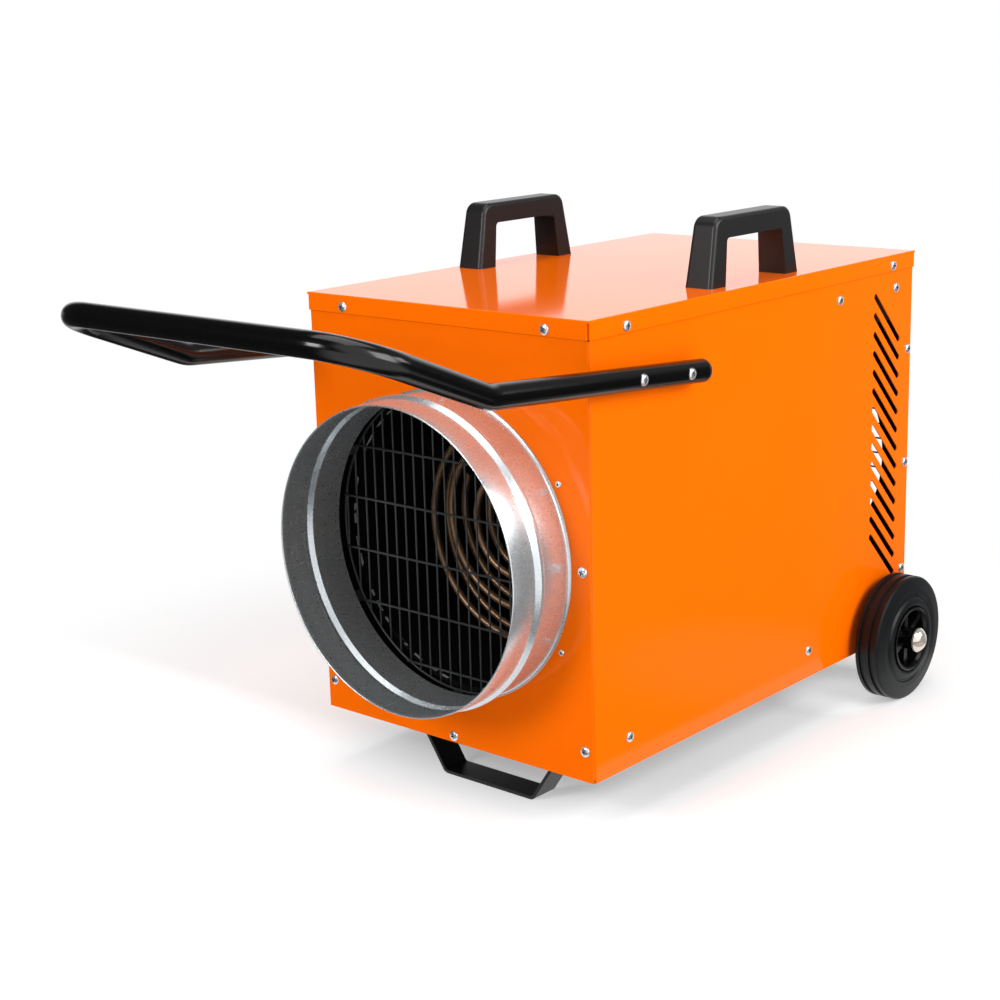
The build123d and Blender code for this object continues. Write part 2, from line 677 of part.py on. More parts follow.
def arm_plane(x, y):
    """Plane square to the arm at a station, facing the back."""
    slope = (0, ARM_END[0] - ARM_KNEE[0], ARM_END[1] - ARM_KNEE[1])
    return Plane(origin=(x, y, arm_height(y)), x_dir=(1, 0, 0), z_dir=slope)


def bolt_places():
    """Places (y, z) of the push handle's bolts."""
    return [(y, arm_height(y)) for y in ARM_BOLTS]


def push_handle():
    """One bent tube: two arms along the sides, rising past the front to a cross bar."""
    right = [(ARM_OFFSET, *ARM_END), (ARM_OFFSET, *ARM_KNEE), (ARM_OFFSET, *ARM_CORNER)]
    left = [(-x, y, z) for x, y, z in reversed(right)]
    bends = [KNEE_BEND, CORNER_BEND, CORNER_BEND, KNEE_BEND]
    route = FilletPolyline(*right, *left, radius=bends)
    ring = Circle(TUBE_RADIUS) - Circle(TUBE_RADIUS - TUBE_WALL)
    handle = sweep(arm_plane(ARM_OFFSET, ARM_END[0]) * ring, path=route)
    outside = ARM_OFFSET + TUBE_RADIUS
    for place in bolt_places():
        for side in (-1, 1):
            handle -= rod("X", BOLT_HEAD + 1.2, side * ARM_OFFSET, side * outside, place)
            handle -= rod("X", BOLT_RADIUS + 0.4, side * HALF_WIDTH, side * ARM_OFFSET, place)
    return handle


def push_handle_caps():
    """Domed plugs that close the arms' back ends."""
    cap = extrude(Circle(TUBE_RADIUS), amount=ARM_CAP)
    cap = fillet(cap.edges().group_by(Axis.Z)[-1], ARM_CAP - 1.5)
    cap += extrude(Circle(TUBE_RADIUS - TUBE_WALL - 0.05), amount=-12)
    return separate(both_sides([arm_plane(ARM_OFFSET, ARM_END[0]) * cap]))


def push_handle_bushes():
    """Bushes inside the tube that the bolts pull against."""
    start = ARM_OFFSET - 8.5
    end = ARM_OFFSET + TUBE_RADIUS - 1.5
    return separate(both_sides(
        [tube("X", BOLT_HEAD + 1, BOLT_RADIUS + 0.2, start, end, place) for place in bolt_places()]
    ))


def push_handle_spacers():
    """Saddle spacers between the arms and the side panels."""
    saddles = []
    for y, z in bolt_places():
        ring = tube("X", 9, BOLT_RADIUS + 0.3, HALF_WIDTH, ARM_OFFSET - 8, (y, z))
        saddles.append(ring - arm_plane(ARM_OFFSET, y) * Cylinder(TUBE_RADIUS + 0.02, 60))
    return separate(both_sides(saddles))


def push_handle_bolts():
    """Button-head bolts through bushes, arms, spacers and side panels."""
    seat = ARM_OFFSET + TUBE_RADIUS - 1.5
    top = seat + 3.4
    section = make_face(
        [
            Polyline((top, 0), (200, 0), (200, BOLT_RADIUS), (seat, BOLT_RADIUS), (seat, BOLT_HEAD)),
            ThreePointArc(*dome(seat, BOLT_HEAD, top)),
        ]
    )
    return separate(both_sides([turned_about_x(section, *place) for place in bolt_places()]))


def push_handle_nuts():
    """Hexagon nuts inside the side panels."""
    nut = extrude(RegularPolygon(7.5, 6), amount=5) - Cylinder(BOLT_RADIUS + 0.05, 20)
    inside = HALF_WIDTH - SHEET
    return separate(both_sides(
        [Plane(origin=(inside, *place), z_dir=(-1, 0, 0)) * nut for place in bolt_places()]
    ))


def carry_handle(x):
    """Moulded bridge handle over one side of the lid: splayed, drafted legs and rounded edges."""
    block = loft([Rectangle(*GRIP_FOOT).face(), (Pos(0, 0, GRIP_HEIGHT) * Rectangle(*GRIP_TOP)).face()])
    block = fillet(block.edges().group_by(Axis.Z)[-1].filter_by(Axis.X), 15)
    faces = block.faces().sort_by(Axis.X)
    rims = (faces[0].edges() + faces[-1].edges()).filter_by(lambda edge: edge.center().Z > 1)
    block = fillet(rims, GRIP_EDGE)
    foot = GRIP_FOOT[1] / 2 - GRIP_LEG
    top = foot - 6
    face = Plane(origin=(-GRIP_FOOT[0] / 2, 0, 0), x_dir=(0, 1, 0), z_dir=(1, 0, 0))
    inner = outline((-foot, -1), (-top, GRIP_OPENING), (top, GRIP_OPENING), (foot, -1))
    inner = fillet(inner.vertices().group_by(Axis.Y)[-1], 5)
    handle = Pos(x, GRIP_MIDDLE, LID_TOP) * (block - extrude(face * inner, amount=GRIP_FOOT[0]))
    for y in grip_screw_stations():
        handle -= rod("Z", GRIP_SCREW + 0.02, LID_TOP - 1, LID_TOP + 17, (x, y))
    return handle


def grip_screw_stations():
    """Stations along Y of the screws under one carrying handle."""
    reach = GRIP_FOOT[1] / 2 - GRIP_LEG / 2
    return (GRIP_MIDDLE - reach, GRIP_MIDDLE + reach)


def grip_screw_places():
    """Places (x, y) of all screws under the carrying handles."""
    return [(x, y) for x in GRIP_OFFSETS.values() for y in grip_screw_stations()]


def carry_handle_screws():
    """Hexagon screws from under the lid into the carrying handles."""
    screw = extrude(RegularPolygon(5.8, 6), amount=-4) + extrude(Circle(GRIP_SCREW), amount=16)
    return separate([Pos(*place, PANEL_TOP) * screw for place in grip_screw_places()])


# ---------------------------------------------------------------- foot and wheels
def foot_bolt_places():
    """Places (x, y) of the bolts that hold the front foot under the floor pan."""
    return [(FOOT_MIDDLE + x, FOOT_STATION + FOOT_WIDTH / 2) for x in (-FOOT_BOLT, FOOT_BOLT)]


def front_foot():
    """Bent flat bar: a level tread on the floor, splayed legs and flanges under the floor pan."""
    flange = FLOOR_PAN - FOOT_THICKNESS
    low = -GROUND_CLEARANCE
    top = FOOT_FLAT + FOOT_SPLAY
    right = [(FOOT_FLAT, low), (top, flange), (top + FOOT_FLANGE, flange)]
    left = [(-x, z) for x, z in reversed(right)]
    section = folded(left + right, Side.LEFT, FOOT_THICKNESS, 9)
    back = FOOT_STATION + FOOT_WIDTH
    face = Plane(origin=(FOOT_MIDDLE, back, 0), x_dir=(1, 0, 0), z_dir=(0, -1, 0))
    foot = extrude(face * section, amount=FOOT_WIDTH)
    for place in foot_bolt_places():
        foot -= rod("Z", BOLT_RADIUS + 0.3, flange - 1, FLOOR_PAN + 1, place)
    return foot


def foot_bolts():
    """Hexagon bolts up through the foot's flanges."""
    seat = FLOOR_PAN - FOOT_THICKNESS
    bolt = extrude(RegularPolygon(7.5, 6), amount=-5) + extrude(Circle(BOLT_RADIUS), amount=14)
    return separate([Pos(*place, seat) * bolt for place in foot_bolt_places()])


def foot_nuts():
    """Nuts on the foot's bolts, on top of the floor pan."""
    nut = extrude(RegularPolygon(7.5, 6), amount=6) - Cylinder(BOLT_RADIUS + 0.05, 20)
    return separate([Pos(*place, FLOOR_PAN + SHEET) * nut for place in foot_bolt_places()])


def axle():
    """Fixed round axle under the floor pan."""
    end = BOSS_END + 4
    return rod("X", AXLE_RADIUS, -end, end, (WHEEL_STATION, AXLE_HEIGHT))


def axle_brackets():
    """Angle brackets under the floor pan that hold the axle."""
    bracket = slab(182, 186, WHEEL_STATION - 30, WHEEL_STATION + 30, 1, FLOOR_PAN)
    bracket += slab(150, 186, WHEEL_STATION - 30, WHEEL_STATION + 30, FLOOR_PAN - 1.8, FLOOR_PAN)
    bracket -= rod("X", AXLE_RADIUS + 0.05, 140, 190, (WHEEL_STATION, AXLE_HEIGHT))
    return separate(both_sides([bracket]))


def wheel_spacers():
    """Tubes on the axle between side panel and wheel."""
    start = HALF_WIDTH + 0.1
    end = HALF_WIDTH + WHEEL_GAP - 0.4
    return separate(both_sides(
        [tube("X", 14, AXLE_RADIUS + 0.2, start, end, (WHEEL_STATION, AXLE_HEIGHT))]
    ))


def wheel_middle():
    """Station along X of the right-hand wheel's middle."""
    return HALF_WIDTH + WHEEL_GAP + WHEEL_WIDTH / 2


def wheel_tyre():
    """Solid rubber tyre: three tread ribs, rounded shoulders, side walls that swell towards the bead."""
    half = WHEEL_WIDTH / 2
    tread = WHEEL_RADIUS
    groove = tread - 2.4
    ribs = [(4, tread), (4.6, groove), (9.6, groove), (10.2, tread), (half - 5.5, tread)]
    wall = [
        (half - 3.2, tread - 1.4), (half - 2.4, tread - 4.5), (half - 0.6, 66), (half - 0.4, 59), (half - 1.8, 57.6),
        (half - 1.6, 55.5), (half + 1.2, 53), (half + 2, 47), (half + 0.8, 44.4), (half - 2.5, 42.3),
    ]
    inner_wall = [(-0.86 * station, radius) for station, radius in reversed(wall)]
    profile = ribs + wall + inner_wall + [(-station, radius) for station, radius in reversed(ribs)]
    return Pos(wheel_middle(), 0, 0) * turned_about_x(outline(*profile), WHEEL_STATION, AXLE_HEIGHT)


def wheel_rim():
    """Moulded wheel centre: ring, six spokes and a long boss that runs on the axle."""
    centre = (WHEEL_STATION, AXLE_HEIGHT)
    middle = wheel_middle()
    half = WHEEL_WIDTH / 2
    ring = outline((-16, 42.2), (half + 2, 42.2), (half + 2.6, 41), (half + 2, 38.4), (half - 2, 37), (-13, 36), (-16, 38))
    rim = Pos(middle, 0, 0) * turned_about_x(ring, *centre)
    spoke = slab(middle - 11, middle + 13, -4, 4, 12, 37.5)
    spokes = [Pos(0, *centre) * Rot(60 * i, 0, 0) * spoke for i in range(6)]
    rim = rim + spokes + rod("X", 14.5, middle - half, BOSS_END, centre)
    return rim - rod("X", AXLE_RADIUS + RUNNING, middle - 30, BOSS_END + 1, centre)


def axle_caps():
    """Domed caps pressed on the axle's ends."""
    start = BOSS_END + 0.5
    end = start + 3.6
    bore = AXLE_RADIUS + 0.02
    section = make_face(
        [
            Polyline((end, 0), (end, bore), (start, bore), (start, CAP_RADIUS), (start + 2, CAP_RADIUS)),
            ThreePointArc(*dome(start + 2, CAP_RADIUS, start + 11)),
            Line((start + 11, 0), (end, 0)),
        ]
    )
    return separate(both_sides([turned_about_x(section, WHEEL_STATION, AXLE_HEIGHT)]))


# ---------------------------------------------------------------- sheet-metal screws
def cover_screws():
    """Pan heads in the lid's flange, two a side."""
    height = LID_TOP - 13.5
    ends = [(-151, height), (151, height)]
    sides = [(65, height), (624, height)]
    heads = screw_heads("Y", -1, 0, ends) + screw_heads("Y", 1, LID_DEPTH, ends)
    return separate(heads + both_sides(screw_heads("X", 1, LID_WIDTH / 2, sides)))


def front_panel_screws():
    """Pan heads down both edges of the front panel and one at the bottom."""
    edge = HALF_WIDTH - 12
    places = [(x, z) for x in (-edge, edge) for z in (35.5, 241, 447)]
    return separate(screw_heads("Y", -1, FRONT, places + [(0, 8)]))


def side_panel_screws():
    """Pan heads on both side panels: floor flange, back edge and tray."""
    places = [(66, 36), (438, 35.5), (668, 90), (670, 235.5), (670, 387), (500, 471.5), (636, 471)]
    return separate(both_sides(screw_heads("X", 1, HALF_WIDTH, places)))


def rear_panel_screws():
    """Pan heads along the bottom of the rear panel."""
    return separate(screw_heads("Y", 1, BACK, [(-60, 10), (0, 10), (60, 10)]))


def ring_places(radius, first, count):
    """Places (x, z) spaced evenly on a ring about the air axis."""
    angles = [first + 2 * pi * i / count for i in range(count)]
    return [(radius * cos(angle), AIR_AXIS + radius * sin(angle)) for angle in angles]


def grille_screws():
    """Six small pan heads round the spigot that hold the grille behind the panel."""
    heads = [
        rod("Y", RIVET_HEAD, FRONT - 1.8, FRONT, place) for place in ring_places(190, pi / 6, 6)
    ]
    return separate(heads)


def guard_screws():
    """Four pan heads through the inlet guard's feet."""
    return separate(screw_heads("Y", 1, BACK + 1.5, ring_places(INLET_RADIUS + 17, pi / 4, 4)))


# ---------------------------------------------------------------- the whole heater
def build():
    """Every piece by its name."""
    right_wheel = {"right_tyre": wheel_tyre(), "right_wheel_centre": wheel_rim()}
    left_wheel = {name.replace("right", "left"): mirrored(piece) for name, piece in right_wheel.items()}
    panel = side_panel() - push_handle_holes()
    cover = top_cover() - carry_handle_holes()
    return {
        "base_pan": base_pan(),
        "front_panel": front_panel(),
        "rear_panel": rear_panel(),
        "right_side_panel": panel,
        "left_side_panel": mirrored(panel),
        "top_cover": cover,
        "duct_spigot": duct_spigot(),
        "outlet_grille": outlet_grille(),
        "grille_screws": grille_screws(),
        "heat_drum": heat_drum(),
        "heating_element_outer": heating_element("outer"),
        "heating_element_middle": heating_element("middle"),
        "heating_element_inner": heating_element("inner"),
        "element_collars": element_collars(),
        "element_terminals": element_terminals(),
        "element_brackets": element_brackets(),
        "fan_bulkhead": fan_bulkhead(),
        "motor_mount": motor_mount(),
        "fan_motor": fan_motor(),
        "motor_shaft": motor_shaft(),
        "fan_impeller": fan_impeller(),
        "inlet_guard": inlet_guard(),
        "guard_screws": guard_screws(),
        "electrics_tray": electrics_tray(),
        "contactors": contactors(),
        "terminal_block": terminal_block(),
        "thermostat_body": control_body(THERMOSTAT, 44, 34),
        "thermostat_spindle": control_spindle(THERMOSTAT),
        "thermostat_knob": thermostat_knob(),
        "selector_body": control_body(SELECTOR, 48, 40),
        "selector_spindle": control_spindle(SELECTOR),
        "selector_knob": selector_knob(),
        "pilot_lamps": pilot_lamps(),
        "limit_thermostat": limit_thermostat(),
        "reset_button": reset_button(),
        "power_inlet": power_inlet(),
        "inlet_pins": inlet_pins(),
        "inlet_cover": inlet_cover(),
        "inlet_hinge_pin": inlet_hinge_pin(),
        "push_handle": push_handle(),
        "push_handle_caps": push_handle_caps(),
        "push_handle_bushes": push_handle_bushes(),
        "push_handle_spacers": push_handle_spacers(),
        "push_handle_bolts": push_handle_bolts(),
        "push_handle_nuts": push_handle_nuts(),
        "right_carry_handle": carry_handle(GRIP_OFFSETS["right"]),
        "left_carry_handle": carry_handle(GRIP_OFFSETS["left"]),
        "carry_handle_screws": carry_handle_screws(),
        "front_foot": front_foot(),
        "foot_bolts": foot_bolts(),
        "foot_nuts": foot_nuts(),
        "axle": axle(),
        "axle_brackets": axle_brackets(),
        "wheel_spacers": wheel_spacers(),
        **right_wheel,
        **left_wheel,
        "axle_caps": axle_caps(),
        "panel_screws": separate(
            cover_screws().solids() + front_panel_screws().solids() + side_panel_screws().solids()
            + rear_panel_screws().solids()
        ),
    }


def push_handle_holes():
    """Holes in the right-hand panel for the push handle's bolts."""
    holes = [rod("X", BOLT_RADIUS + 0.4, HALF_WIDTH - 4, HALF_WIDTH + 2, place) for place in bolt_places()]
    return holes[0] + holes[1:]


def carry_handle_holes():
    """Holes in the lid for the carrying handles' screws."""
    holes = [rod("Z", GRIP_SCREW + 0.3, PANEL_TOP - 1, LID_TOP + 1, place) for place in grip_screw_places()]
    return holes[0] + holes[1:]


os.makedirs("parts", exist_ok=True)
for name, piece in build().items():
    export_step(Pos(*DATUM_TO_ORIGIN) * piece, f"parts/{name}.step")
    print(name, len(piece.solids()), "solids", round(sum(solid.volume for solid in piece.solids())), "mm3")
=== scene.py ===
# %% [markdown]
# # A wheeled forced air heater
# The heater is a folded sheet-metal casing with a round duct collar, a wire grille, three heating coils, a push
# handle, two carrying handles, a foot and two wheels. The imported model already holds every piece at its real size,
# in metres, with the origin on the floor under its middle. This script gives each piece its finish, and makes the
# fine pieces again where their small forms matter to the eye: round wires, round tubes, screw heads and the collar.

# %% Load the model
import bpy
from math import asin, cos, pi, radians, sin, sqrt
from mathutils import Matrix, Vector


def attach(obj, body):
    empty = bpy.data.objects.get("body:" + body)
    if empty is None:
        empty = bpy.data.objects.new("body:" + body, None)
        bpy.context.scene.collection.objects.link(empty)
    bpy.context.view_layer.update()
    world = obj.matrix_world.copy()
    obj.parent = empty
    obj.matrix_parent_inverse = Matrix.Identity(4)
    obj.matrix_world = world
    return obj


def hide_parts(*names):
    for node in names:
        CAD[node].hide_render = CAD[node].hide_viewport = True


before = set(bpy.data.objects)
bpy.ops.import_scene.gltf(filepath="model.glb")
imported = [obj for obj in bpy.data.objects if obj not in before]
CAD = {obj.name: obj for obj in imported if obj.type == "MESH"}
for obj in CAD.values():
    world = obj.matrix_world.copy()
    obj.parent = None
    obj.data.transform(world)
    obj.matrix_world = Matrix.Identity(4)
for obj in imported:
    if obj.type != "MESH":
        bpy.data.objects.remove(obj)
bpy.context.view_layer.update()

# %% [markdown]
# ## Small helpers
# Drawings of such a casing measure from the middle of its lower front edge, in millimetres. One helper turns such a
# place into metres in the model's frame. Another adds a node to a tree, with its settings and its links, so that
# a material or a geometry tree reads as one list of what feeds what. Two more mark a box-shaped region of space and
# turn a written colour into the one that shaders work with.

# %% Places, nodes and colours
MM = 0.001


def at(x, y, z):
    """A place in millimetres from the casing's lower front edge, as metres in the model's frame."""
    return Vector((x, y - 180.475, z + 69.5)) * MM


def add(tree, kind, feeds=None, **settings):
    """Adds a node; feeds maps an input to a value or to another node's output."""
    made = tree.nodes.new(kind)
    for name, value in settings.items():
        setattr(made, name, value)
    for key, value in (feeds or {}).items():
        if isinstance(value, bpy.types.NodeSocket):
            tree.links.new(value, made.inputs[key])
        else:
            made.inputs[key].default_value = value
    return made


def inside_box(tree, spot, middle, half):
    """1 where the spot lies in a box given by its middle and its half sizes, else 0."""
    away = add(tree, "ShaderNodeVectorMath", {0: spot, 1: middle}, operation="SUBTRACT").outputs[0]
    away = add(tree, "ShaderNodeVectorMath", {0: away}, operation="ABSOLUTE").outputs[0]
    share = add(tree, "ShaderNodeVectorMath", {0: away, 1: half}, operation="DIVIDE").outputs[0]
    x, y, z = add(tree, "ShaderNodeSeparateXYZ", {0: share}).outputs
    farthest = add(tree, "ShaderNodeMath", {0: x, 1: y}, operation="MAXIMUM").outputs[0]
    farthest = add(tree, "ShaderNodeMath", {0: farthest, 1: z}, operation="MAXIMUM").outputs[0]
    return add(tree, "ShaderNodeMath", {0: farthest, 1: 1.0}, operation="LESS_THAN").outputs[0]


def shade(code):
    """A hex sRGB colour as the linear colour that shaders work with."""
    parts = [int(code[i:i + 2], 16) / 255 for i in (1, 3, 5)]
    linear = [p / 12.92 if p <= 0.04045 else ((p + 0.055) / 1.055) ** 2.4 for p in parts]
    return (*linear, 1.0)


print("casing corner sits at", tuple(round(v, 4) for v in at(208, 2, 0)))

# %% [markdown]
# ## Camera
# The photograph's camera stands to the right of the front and looks down a little. Its place, its three turns and
# its lens were fitted to the casing's edges and corners. A matrix with the camera's own axes as columns places it
# exactly, with no aiming constraint that could drift.

# %% Set the camera
YAW, PITCH, ROLL = radians(41.278), radians(14.313), radians(-1.530)
SENSOR_WIDTH, LENS = 36, 68.70
CAMERA_PLACE = at(1425.855, -1530.253, 824.534)
backwards = Vector((sin(YAW) * cos(PITCH), -cos(YAW) * cos(PITCH), sin(PITCH)))
level = (-backwards).cross(Vector((0, 0, 1))).normalized()
upright = level.cross(-backwards)
right = cos(ROLL) * level + sin(ROLL) * upright
up = -sin(ROLL) * level + cos(ROLL) * upright
camera = bpy.data.objects.new("camera", bpy.data.cameras.new("camera"))
camera.data.sensor_width = SENSOR_WIDTH
camera.data.lens = LENS
camera.data.clip_end = 50
place = Matrix((right, up, backwards)).transposed().to_4x4()
place.translation = CAMERA_PLACE
camera.matrix_world = place
bpy.context.scene.collection.objects.link(camera)
bpy.context.scene.camera = camera
bpy.context.scene.view_settings.view_transform = "Standard"
print("camera at", tuple(round(v, 3) for v in camera.location))

# %% [markdown]
# ## Floor
# A product photograph like this one stands in a white cove under large soft lamps. The floor is lit a little past
# white, takes the heater's soft shadow, and fades into plain white with distance. Gloss is what tells such a room
# apart: the cove behind the heater is bright, and so are a high window and a wall on its right, but round the
# camera the room is dark. So the lid mirrors white, and the front panel mirrors nearly nothing. One sheet can look
# different to the camera and to a mirror, because its material can ask what kind of ray has met it. Places on it
# are in metres.

# %% Lay the sheet
FLOOR_HALF = 30
FADE_MIDDLE = (0, 0.16, 0)


def plain_sheet(name, half):
    """A square sheet on the ground, given by half its side."""
    mesh = bpy.data.meshes.new(name)
    mesh.from_pydata([(-half, -half, 0), (half, -half, 0), (half, half, 0), (-half, half, 0)], [], [(0, 1, 2, 3)])
    sheet = bpy.data.objects.new(name, mesh)
    bpy.context.scene.collection.objects.link(sheet)
    return sheet


floor = plain_sheet("floor", FLOOR_HALF)
paper = bpy.data.materials.new("white paper floor")
paper.use_nodes = True
tree = paper.node_tree
tree.nodes.clear()
rays = add(tree, "ShaderNodeLightPath").outputs
spot = add(tree, "ShaderNodeTexCoord").outputs["Object"]
outward = add(tree, "ShaderNodeVectorMath", {0: spot}, operation="NORMALIZE").outputs[0]
reach = add(tree, "ShaderNodeVectorMath", {0: spot, 1: FADE_MIDDLE}, operation="DISTANCE").outputs["Value"]
x, y, _ = add(tree, "ShaderNodeSeparateXYZ", {0: spot}).outputs
x = add(tree, "ShaderNodeMath", {0: x}, operation="ABSOLUTE").outputs[0]
either_side = add(tree, "ShaderNodeCombineXYZ", {0: x, 1: y}).outputs[0]
print(floor.name, "is", 2 * FLOOR_HALF, "metres wide")

# %% [markdown]
# ### The floor as the camera sees it
# Here it is matt paper with a little light of its own, which weakens the shadow in front of the casing and close by
# the wheels, and plain white farther out. The shadow itself comes from the lamps.

# %% Floor for the camera
WHITE = shade("#FFFFFF")
INSIDE_WHEEL = (0.17, 0.4, 0)
by_wheel = add(tree, "ShaderNodeVectorMath", {0: either_side, 1: INSIDE_WHEEL}, operation="DISTANCE")
by_wheel = add(tree, "ShaderNodeMapRange", {0: by_wheel.outputs["Value"], 1: 0.02, 2: 0.11, 3: 0.6, 4: 0.28},
               interpolation_type="SMOOTHSTEP").outputs[0]
in_front = add(tree, "ShaderNodeMapRange", {0: y, 1: -0.15, 2: -0.07, 3: 0.53, 4: 0.3}).outputs[0]
lift = add(tree, "ShaderNodeMath", {0: by_wheel, 1: in_front}, operation="MAXIMUM").outputs[0]
shadowed = add(tree, "ShaderNodeAddShader", {
    0: add(tree, "ShaderNodeBsdfDiffuse", {"Color": shade("#DBDADA")}).outputs[0],
    1: add(tree, "ShaderNodeEmission", {"Strength": lift}).outputs[0]}).outputs[0]
white = add(tree, "ShaderNodeEmission", {"Color": WHITE, "Strength": 1.0}).outputs[0]
fade = add(tree, "ShaderNodeMapRange", {0: reach, 1: 0.6, 2: 1.0}, interpolation_type="SMOOTHSTEP").outputs[0]
seen = add(tree, "ShaderNodeMixShader", {0: fade, 1: shadowed, 2: white}).outputs[0]
print("floor is", len(tree.nodes), "nodes so far")

# %% [markdown]
# ### The floor as mirrors see it
# A mirror sees the brightest of four things: the cove behind, a patch far out on the front right, the floor along
# the casing and a halo round each wheel. A glow is full in one direction and fades to dark round it. Every other
# kind of ray meets matt paper.

# %% Floor for mirrors
ROOM_BACK = Vector((-0.5, 0.86, 0.0)).normalized()
FRONT_PATCH = Vector((0.78, -0.62, 0.0)).normalized()
DARK_SIDE = 0.04
CASING_MIDDLE, CASING_REACH = (0, 0.15, 0), (0.34, 0.45, 1)
BESIDE_WHEEL = (0.42, 0.42, 0)


def glow(tree, direction, towards, start, full, strength):
    """A soft bright area of the room round one direction, as a mirror sees it."""
    along = add(tree, "ShaderNodeVectorMath", {0: direction, 1: towards}, operation="DOT_PRODUCT").outputs["Value"]
    return add(tree, "ShaderNodeMapRange", {0: along, 1: start, 2: full, 3: DARK_SIDE, 4: strength},
               interpolation_type="SMOOTHSTEP").outputs[0]


patch = glow(tree, outward, FRONT_PATCH, 0.45, 0.8, 1.15)
far = add(tree, "ShaderNodeMapRange", {0: reach, 1: 0.7, 2: 1.0}, interpolation_type="SMOOTHSTEP").outputs[0]
patch = add(tree, "ShaderNodeMath", {0: patch, 1: far}, operation="MULTIPLY").outputs[0]
beside = inside_box(tree, spot, CASING_MIDDLE, CASING_REACH)
halo = add(tree, "ShaderNodeVectorMath", {0: either_side, 1: BESIDE_WHEEL}, operation="DISTANCE")
halo = add(tree, "ShaderNodeMapRange", {0: halo.outputs["Value"], 1: 0.10, 2: 0.24, 3: 0.3, 4: 0.0}).outputs[0]
mirrored = glow(tree, outward, ROOM_BACK, 0.4, 0.9, 1.0)
for bright in (patch, beside, halo):
    mirrored = add(tree, "ShaderNodeMath", {0: mirrored, 1: bright}, operation="MAXIMUM").outputs[0]
in_mirrors = add(tree, "ShaderNodeEmission", {"Color": WHITE, "Strength": mirrored}).outputs[0]
matt = add(tree, "ShaderNodeBsdfDiffuse", {"Color": shade("#E2E2E2")}).outputs[0]
glossy = add(tree, "ShaderNodeMath", {0: rays["Is Glossy Ray"], 1: rays["Is Transmission Ray"]}, operation="MAXIMUM")
others = add(tree, "ShaderNodeMixShader", {0: glossy.outputs[0], 1: matt, 2: in_mirrors}).outputs[0]
whole = add(tree, "ShaderNodeMixShader", {0: rays["Is Camera Ray"], 1: others, 2: seen}).outputs[0]
add(tree, "ShaderNodeOutputMaterial", {"Surface": whole})
floor.data.materials.append(paper)
print("floor is", len(tree.nodes), "nodes")

# %% [markdown]
# ## Room and lamps
# The room's dome is white for the camera, follows the same dark-to-bright rule for mirrors, and gives a weak even
# light to everything else.

# %% Light the dome
HIGH_WINDOW = Vector((0.35, 0.66, 0.66)).normalized()
RIGHT_WALL = Vector((0.78, -0.42, 0.46)).normalized()
EVEN_LIGHT = 0.34
world = bpy.data.worlds.new("white cove")
bpy.context.scene.world = world
world.use_nodes = True
tree = world.node_tree
tree.nodes.clear()
rays = add(tree, "ShaderNodeLightPath").outputs
glossy = add(tree, "ShaderNodeMath", {0: rays["Is Glossy Ray"], 1: rays["Is Transmission Ray"]}, operation="MAXIMUM")
towards = add(tree, "ShaderNodeTexCoord").outputs["Generated"]
cove = glow(tree, towards, ROOM_BACK, 0.68, 0.93, 1.36)
window = glow(tree, towards, HIGH_WINDOW, 0.88, 0.96, 0.25)
wall = glow(tree, towards, RIGHT_WALL, 0.68, 0.88, 1.1)
for bright in (window, wall):
    cove = add(tree, "ShaderNodeMath", {0: cove, 1: bright}, operation="MAXIMUM").outputs[0]
soft = add(tree, "ShaderNodeMix", {0: glossy.outputs[0], 2: EVEN_LIGHT, 3: cove}).outputs[0]
strength = add(tree, "ShaderNodeMix", {0: rays["Is Camera Ray"], 2: soft, 3: 1.0}).outputs[0]
dome = add(tree, "ShaderNodeBackground", {"Color": WHITE, "Strength": strength}).outputs[0]
add(tree, "ShaderNodeOutputWorld", {"Surface": dome})
print(world.name, "is", len(tree.nodes), "nodes")

# %% [markdown]
# Four soft boxes do the rest: large ones overhead and on the right, and smaller ones in front on the left and behind
# on the right. The front one leaves the short highlights on the push handle. Point lamps would do too, but their
# shadows are hard, and the photograph's are soft. The boxes are just strong enough for a written colour to come out
# at about its own value.

# %% Hang the lamps
def soft_box(name, place, target, size, watts):
    """A square lamp that looks at a target; its size is its side in metres."""
    lamp = bpy.data.objects.new(name, bpy.data.lights.new(name, "AREA"))
    lamp.data.size = size
    lamp.data.energy = watts
    lamp.location = place
    lamp.rotation_mode = "QUATERNION"
    lamp.rotation_quaternion = (Vector(target) - Vector(place)).to_track_quat("-Z", "Y")
    bpy.context.scene.collection.objects.link(lamp)


soft_box("overhead box", (0.0, -0.2, 3.2), (0, 0, 0.3), 2.4, 46)
soft_box("front box", (-0.7, -3.3, 1.6), (0, -0.1, 0.3), 1.2, 58)
soft_box("right box", (3.05, 0.15, 1.9), (0, 0.1, 0.3), 2.0, 82)
soft_box("window box", (2.4, 1.6, 1.7), (0, 0, 0.3), 1.0, 18)
print(len(bpy.data.lights), "lamps hang")

# %% [markdown]
# ## Painted shade and a painted highlight
# The casing's sheets are drawn dark on their inner faces and the underside: painted shade, as dark as the inside's
# shadow. A thin dark line just under the lid's flange is a painted shadow. Boxes in the object's own coordinates
# mark both, so the sheets need no second material. The drum behind the grille has a painted highlight on its front
# edge: a thin light grey ring about the air axis, broken up by soft noise in place of the wires' shadows.

# %% Mark painted shade and the painted highlight
AIR_AXIS = 239.0
# Height of the flange's lower edge, and half the height of the painted shadow line round it, in mm.
FLANGE_EDGE, LINE_BELOW = 493, 0.7
# Box of the painted shade: the sheets' inner faces and the underside.
INSIDE_MIDDLE = at(0, 340, 246.25)
INSIDE_HALF = Vector((206.6, 336.55, 266.3)) * MM
# Box of the painted shadow line under the lid's flange.
BEHIND_LID = at(0, 340, FLANGE_EDGE)
BEHIND_LID_HALF = Vector((208.9, 338.9, LINE_BELOW)) * MM
BIT = 14 * MM


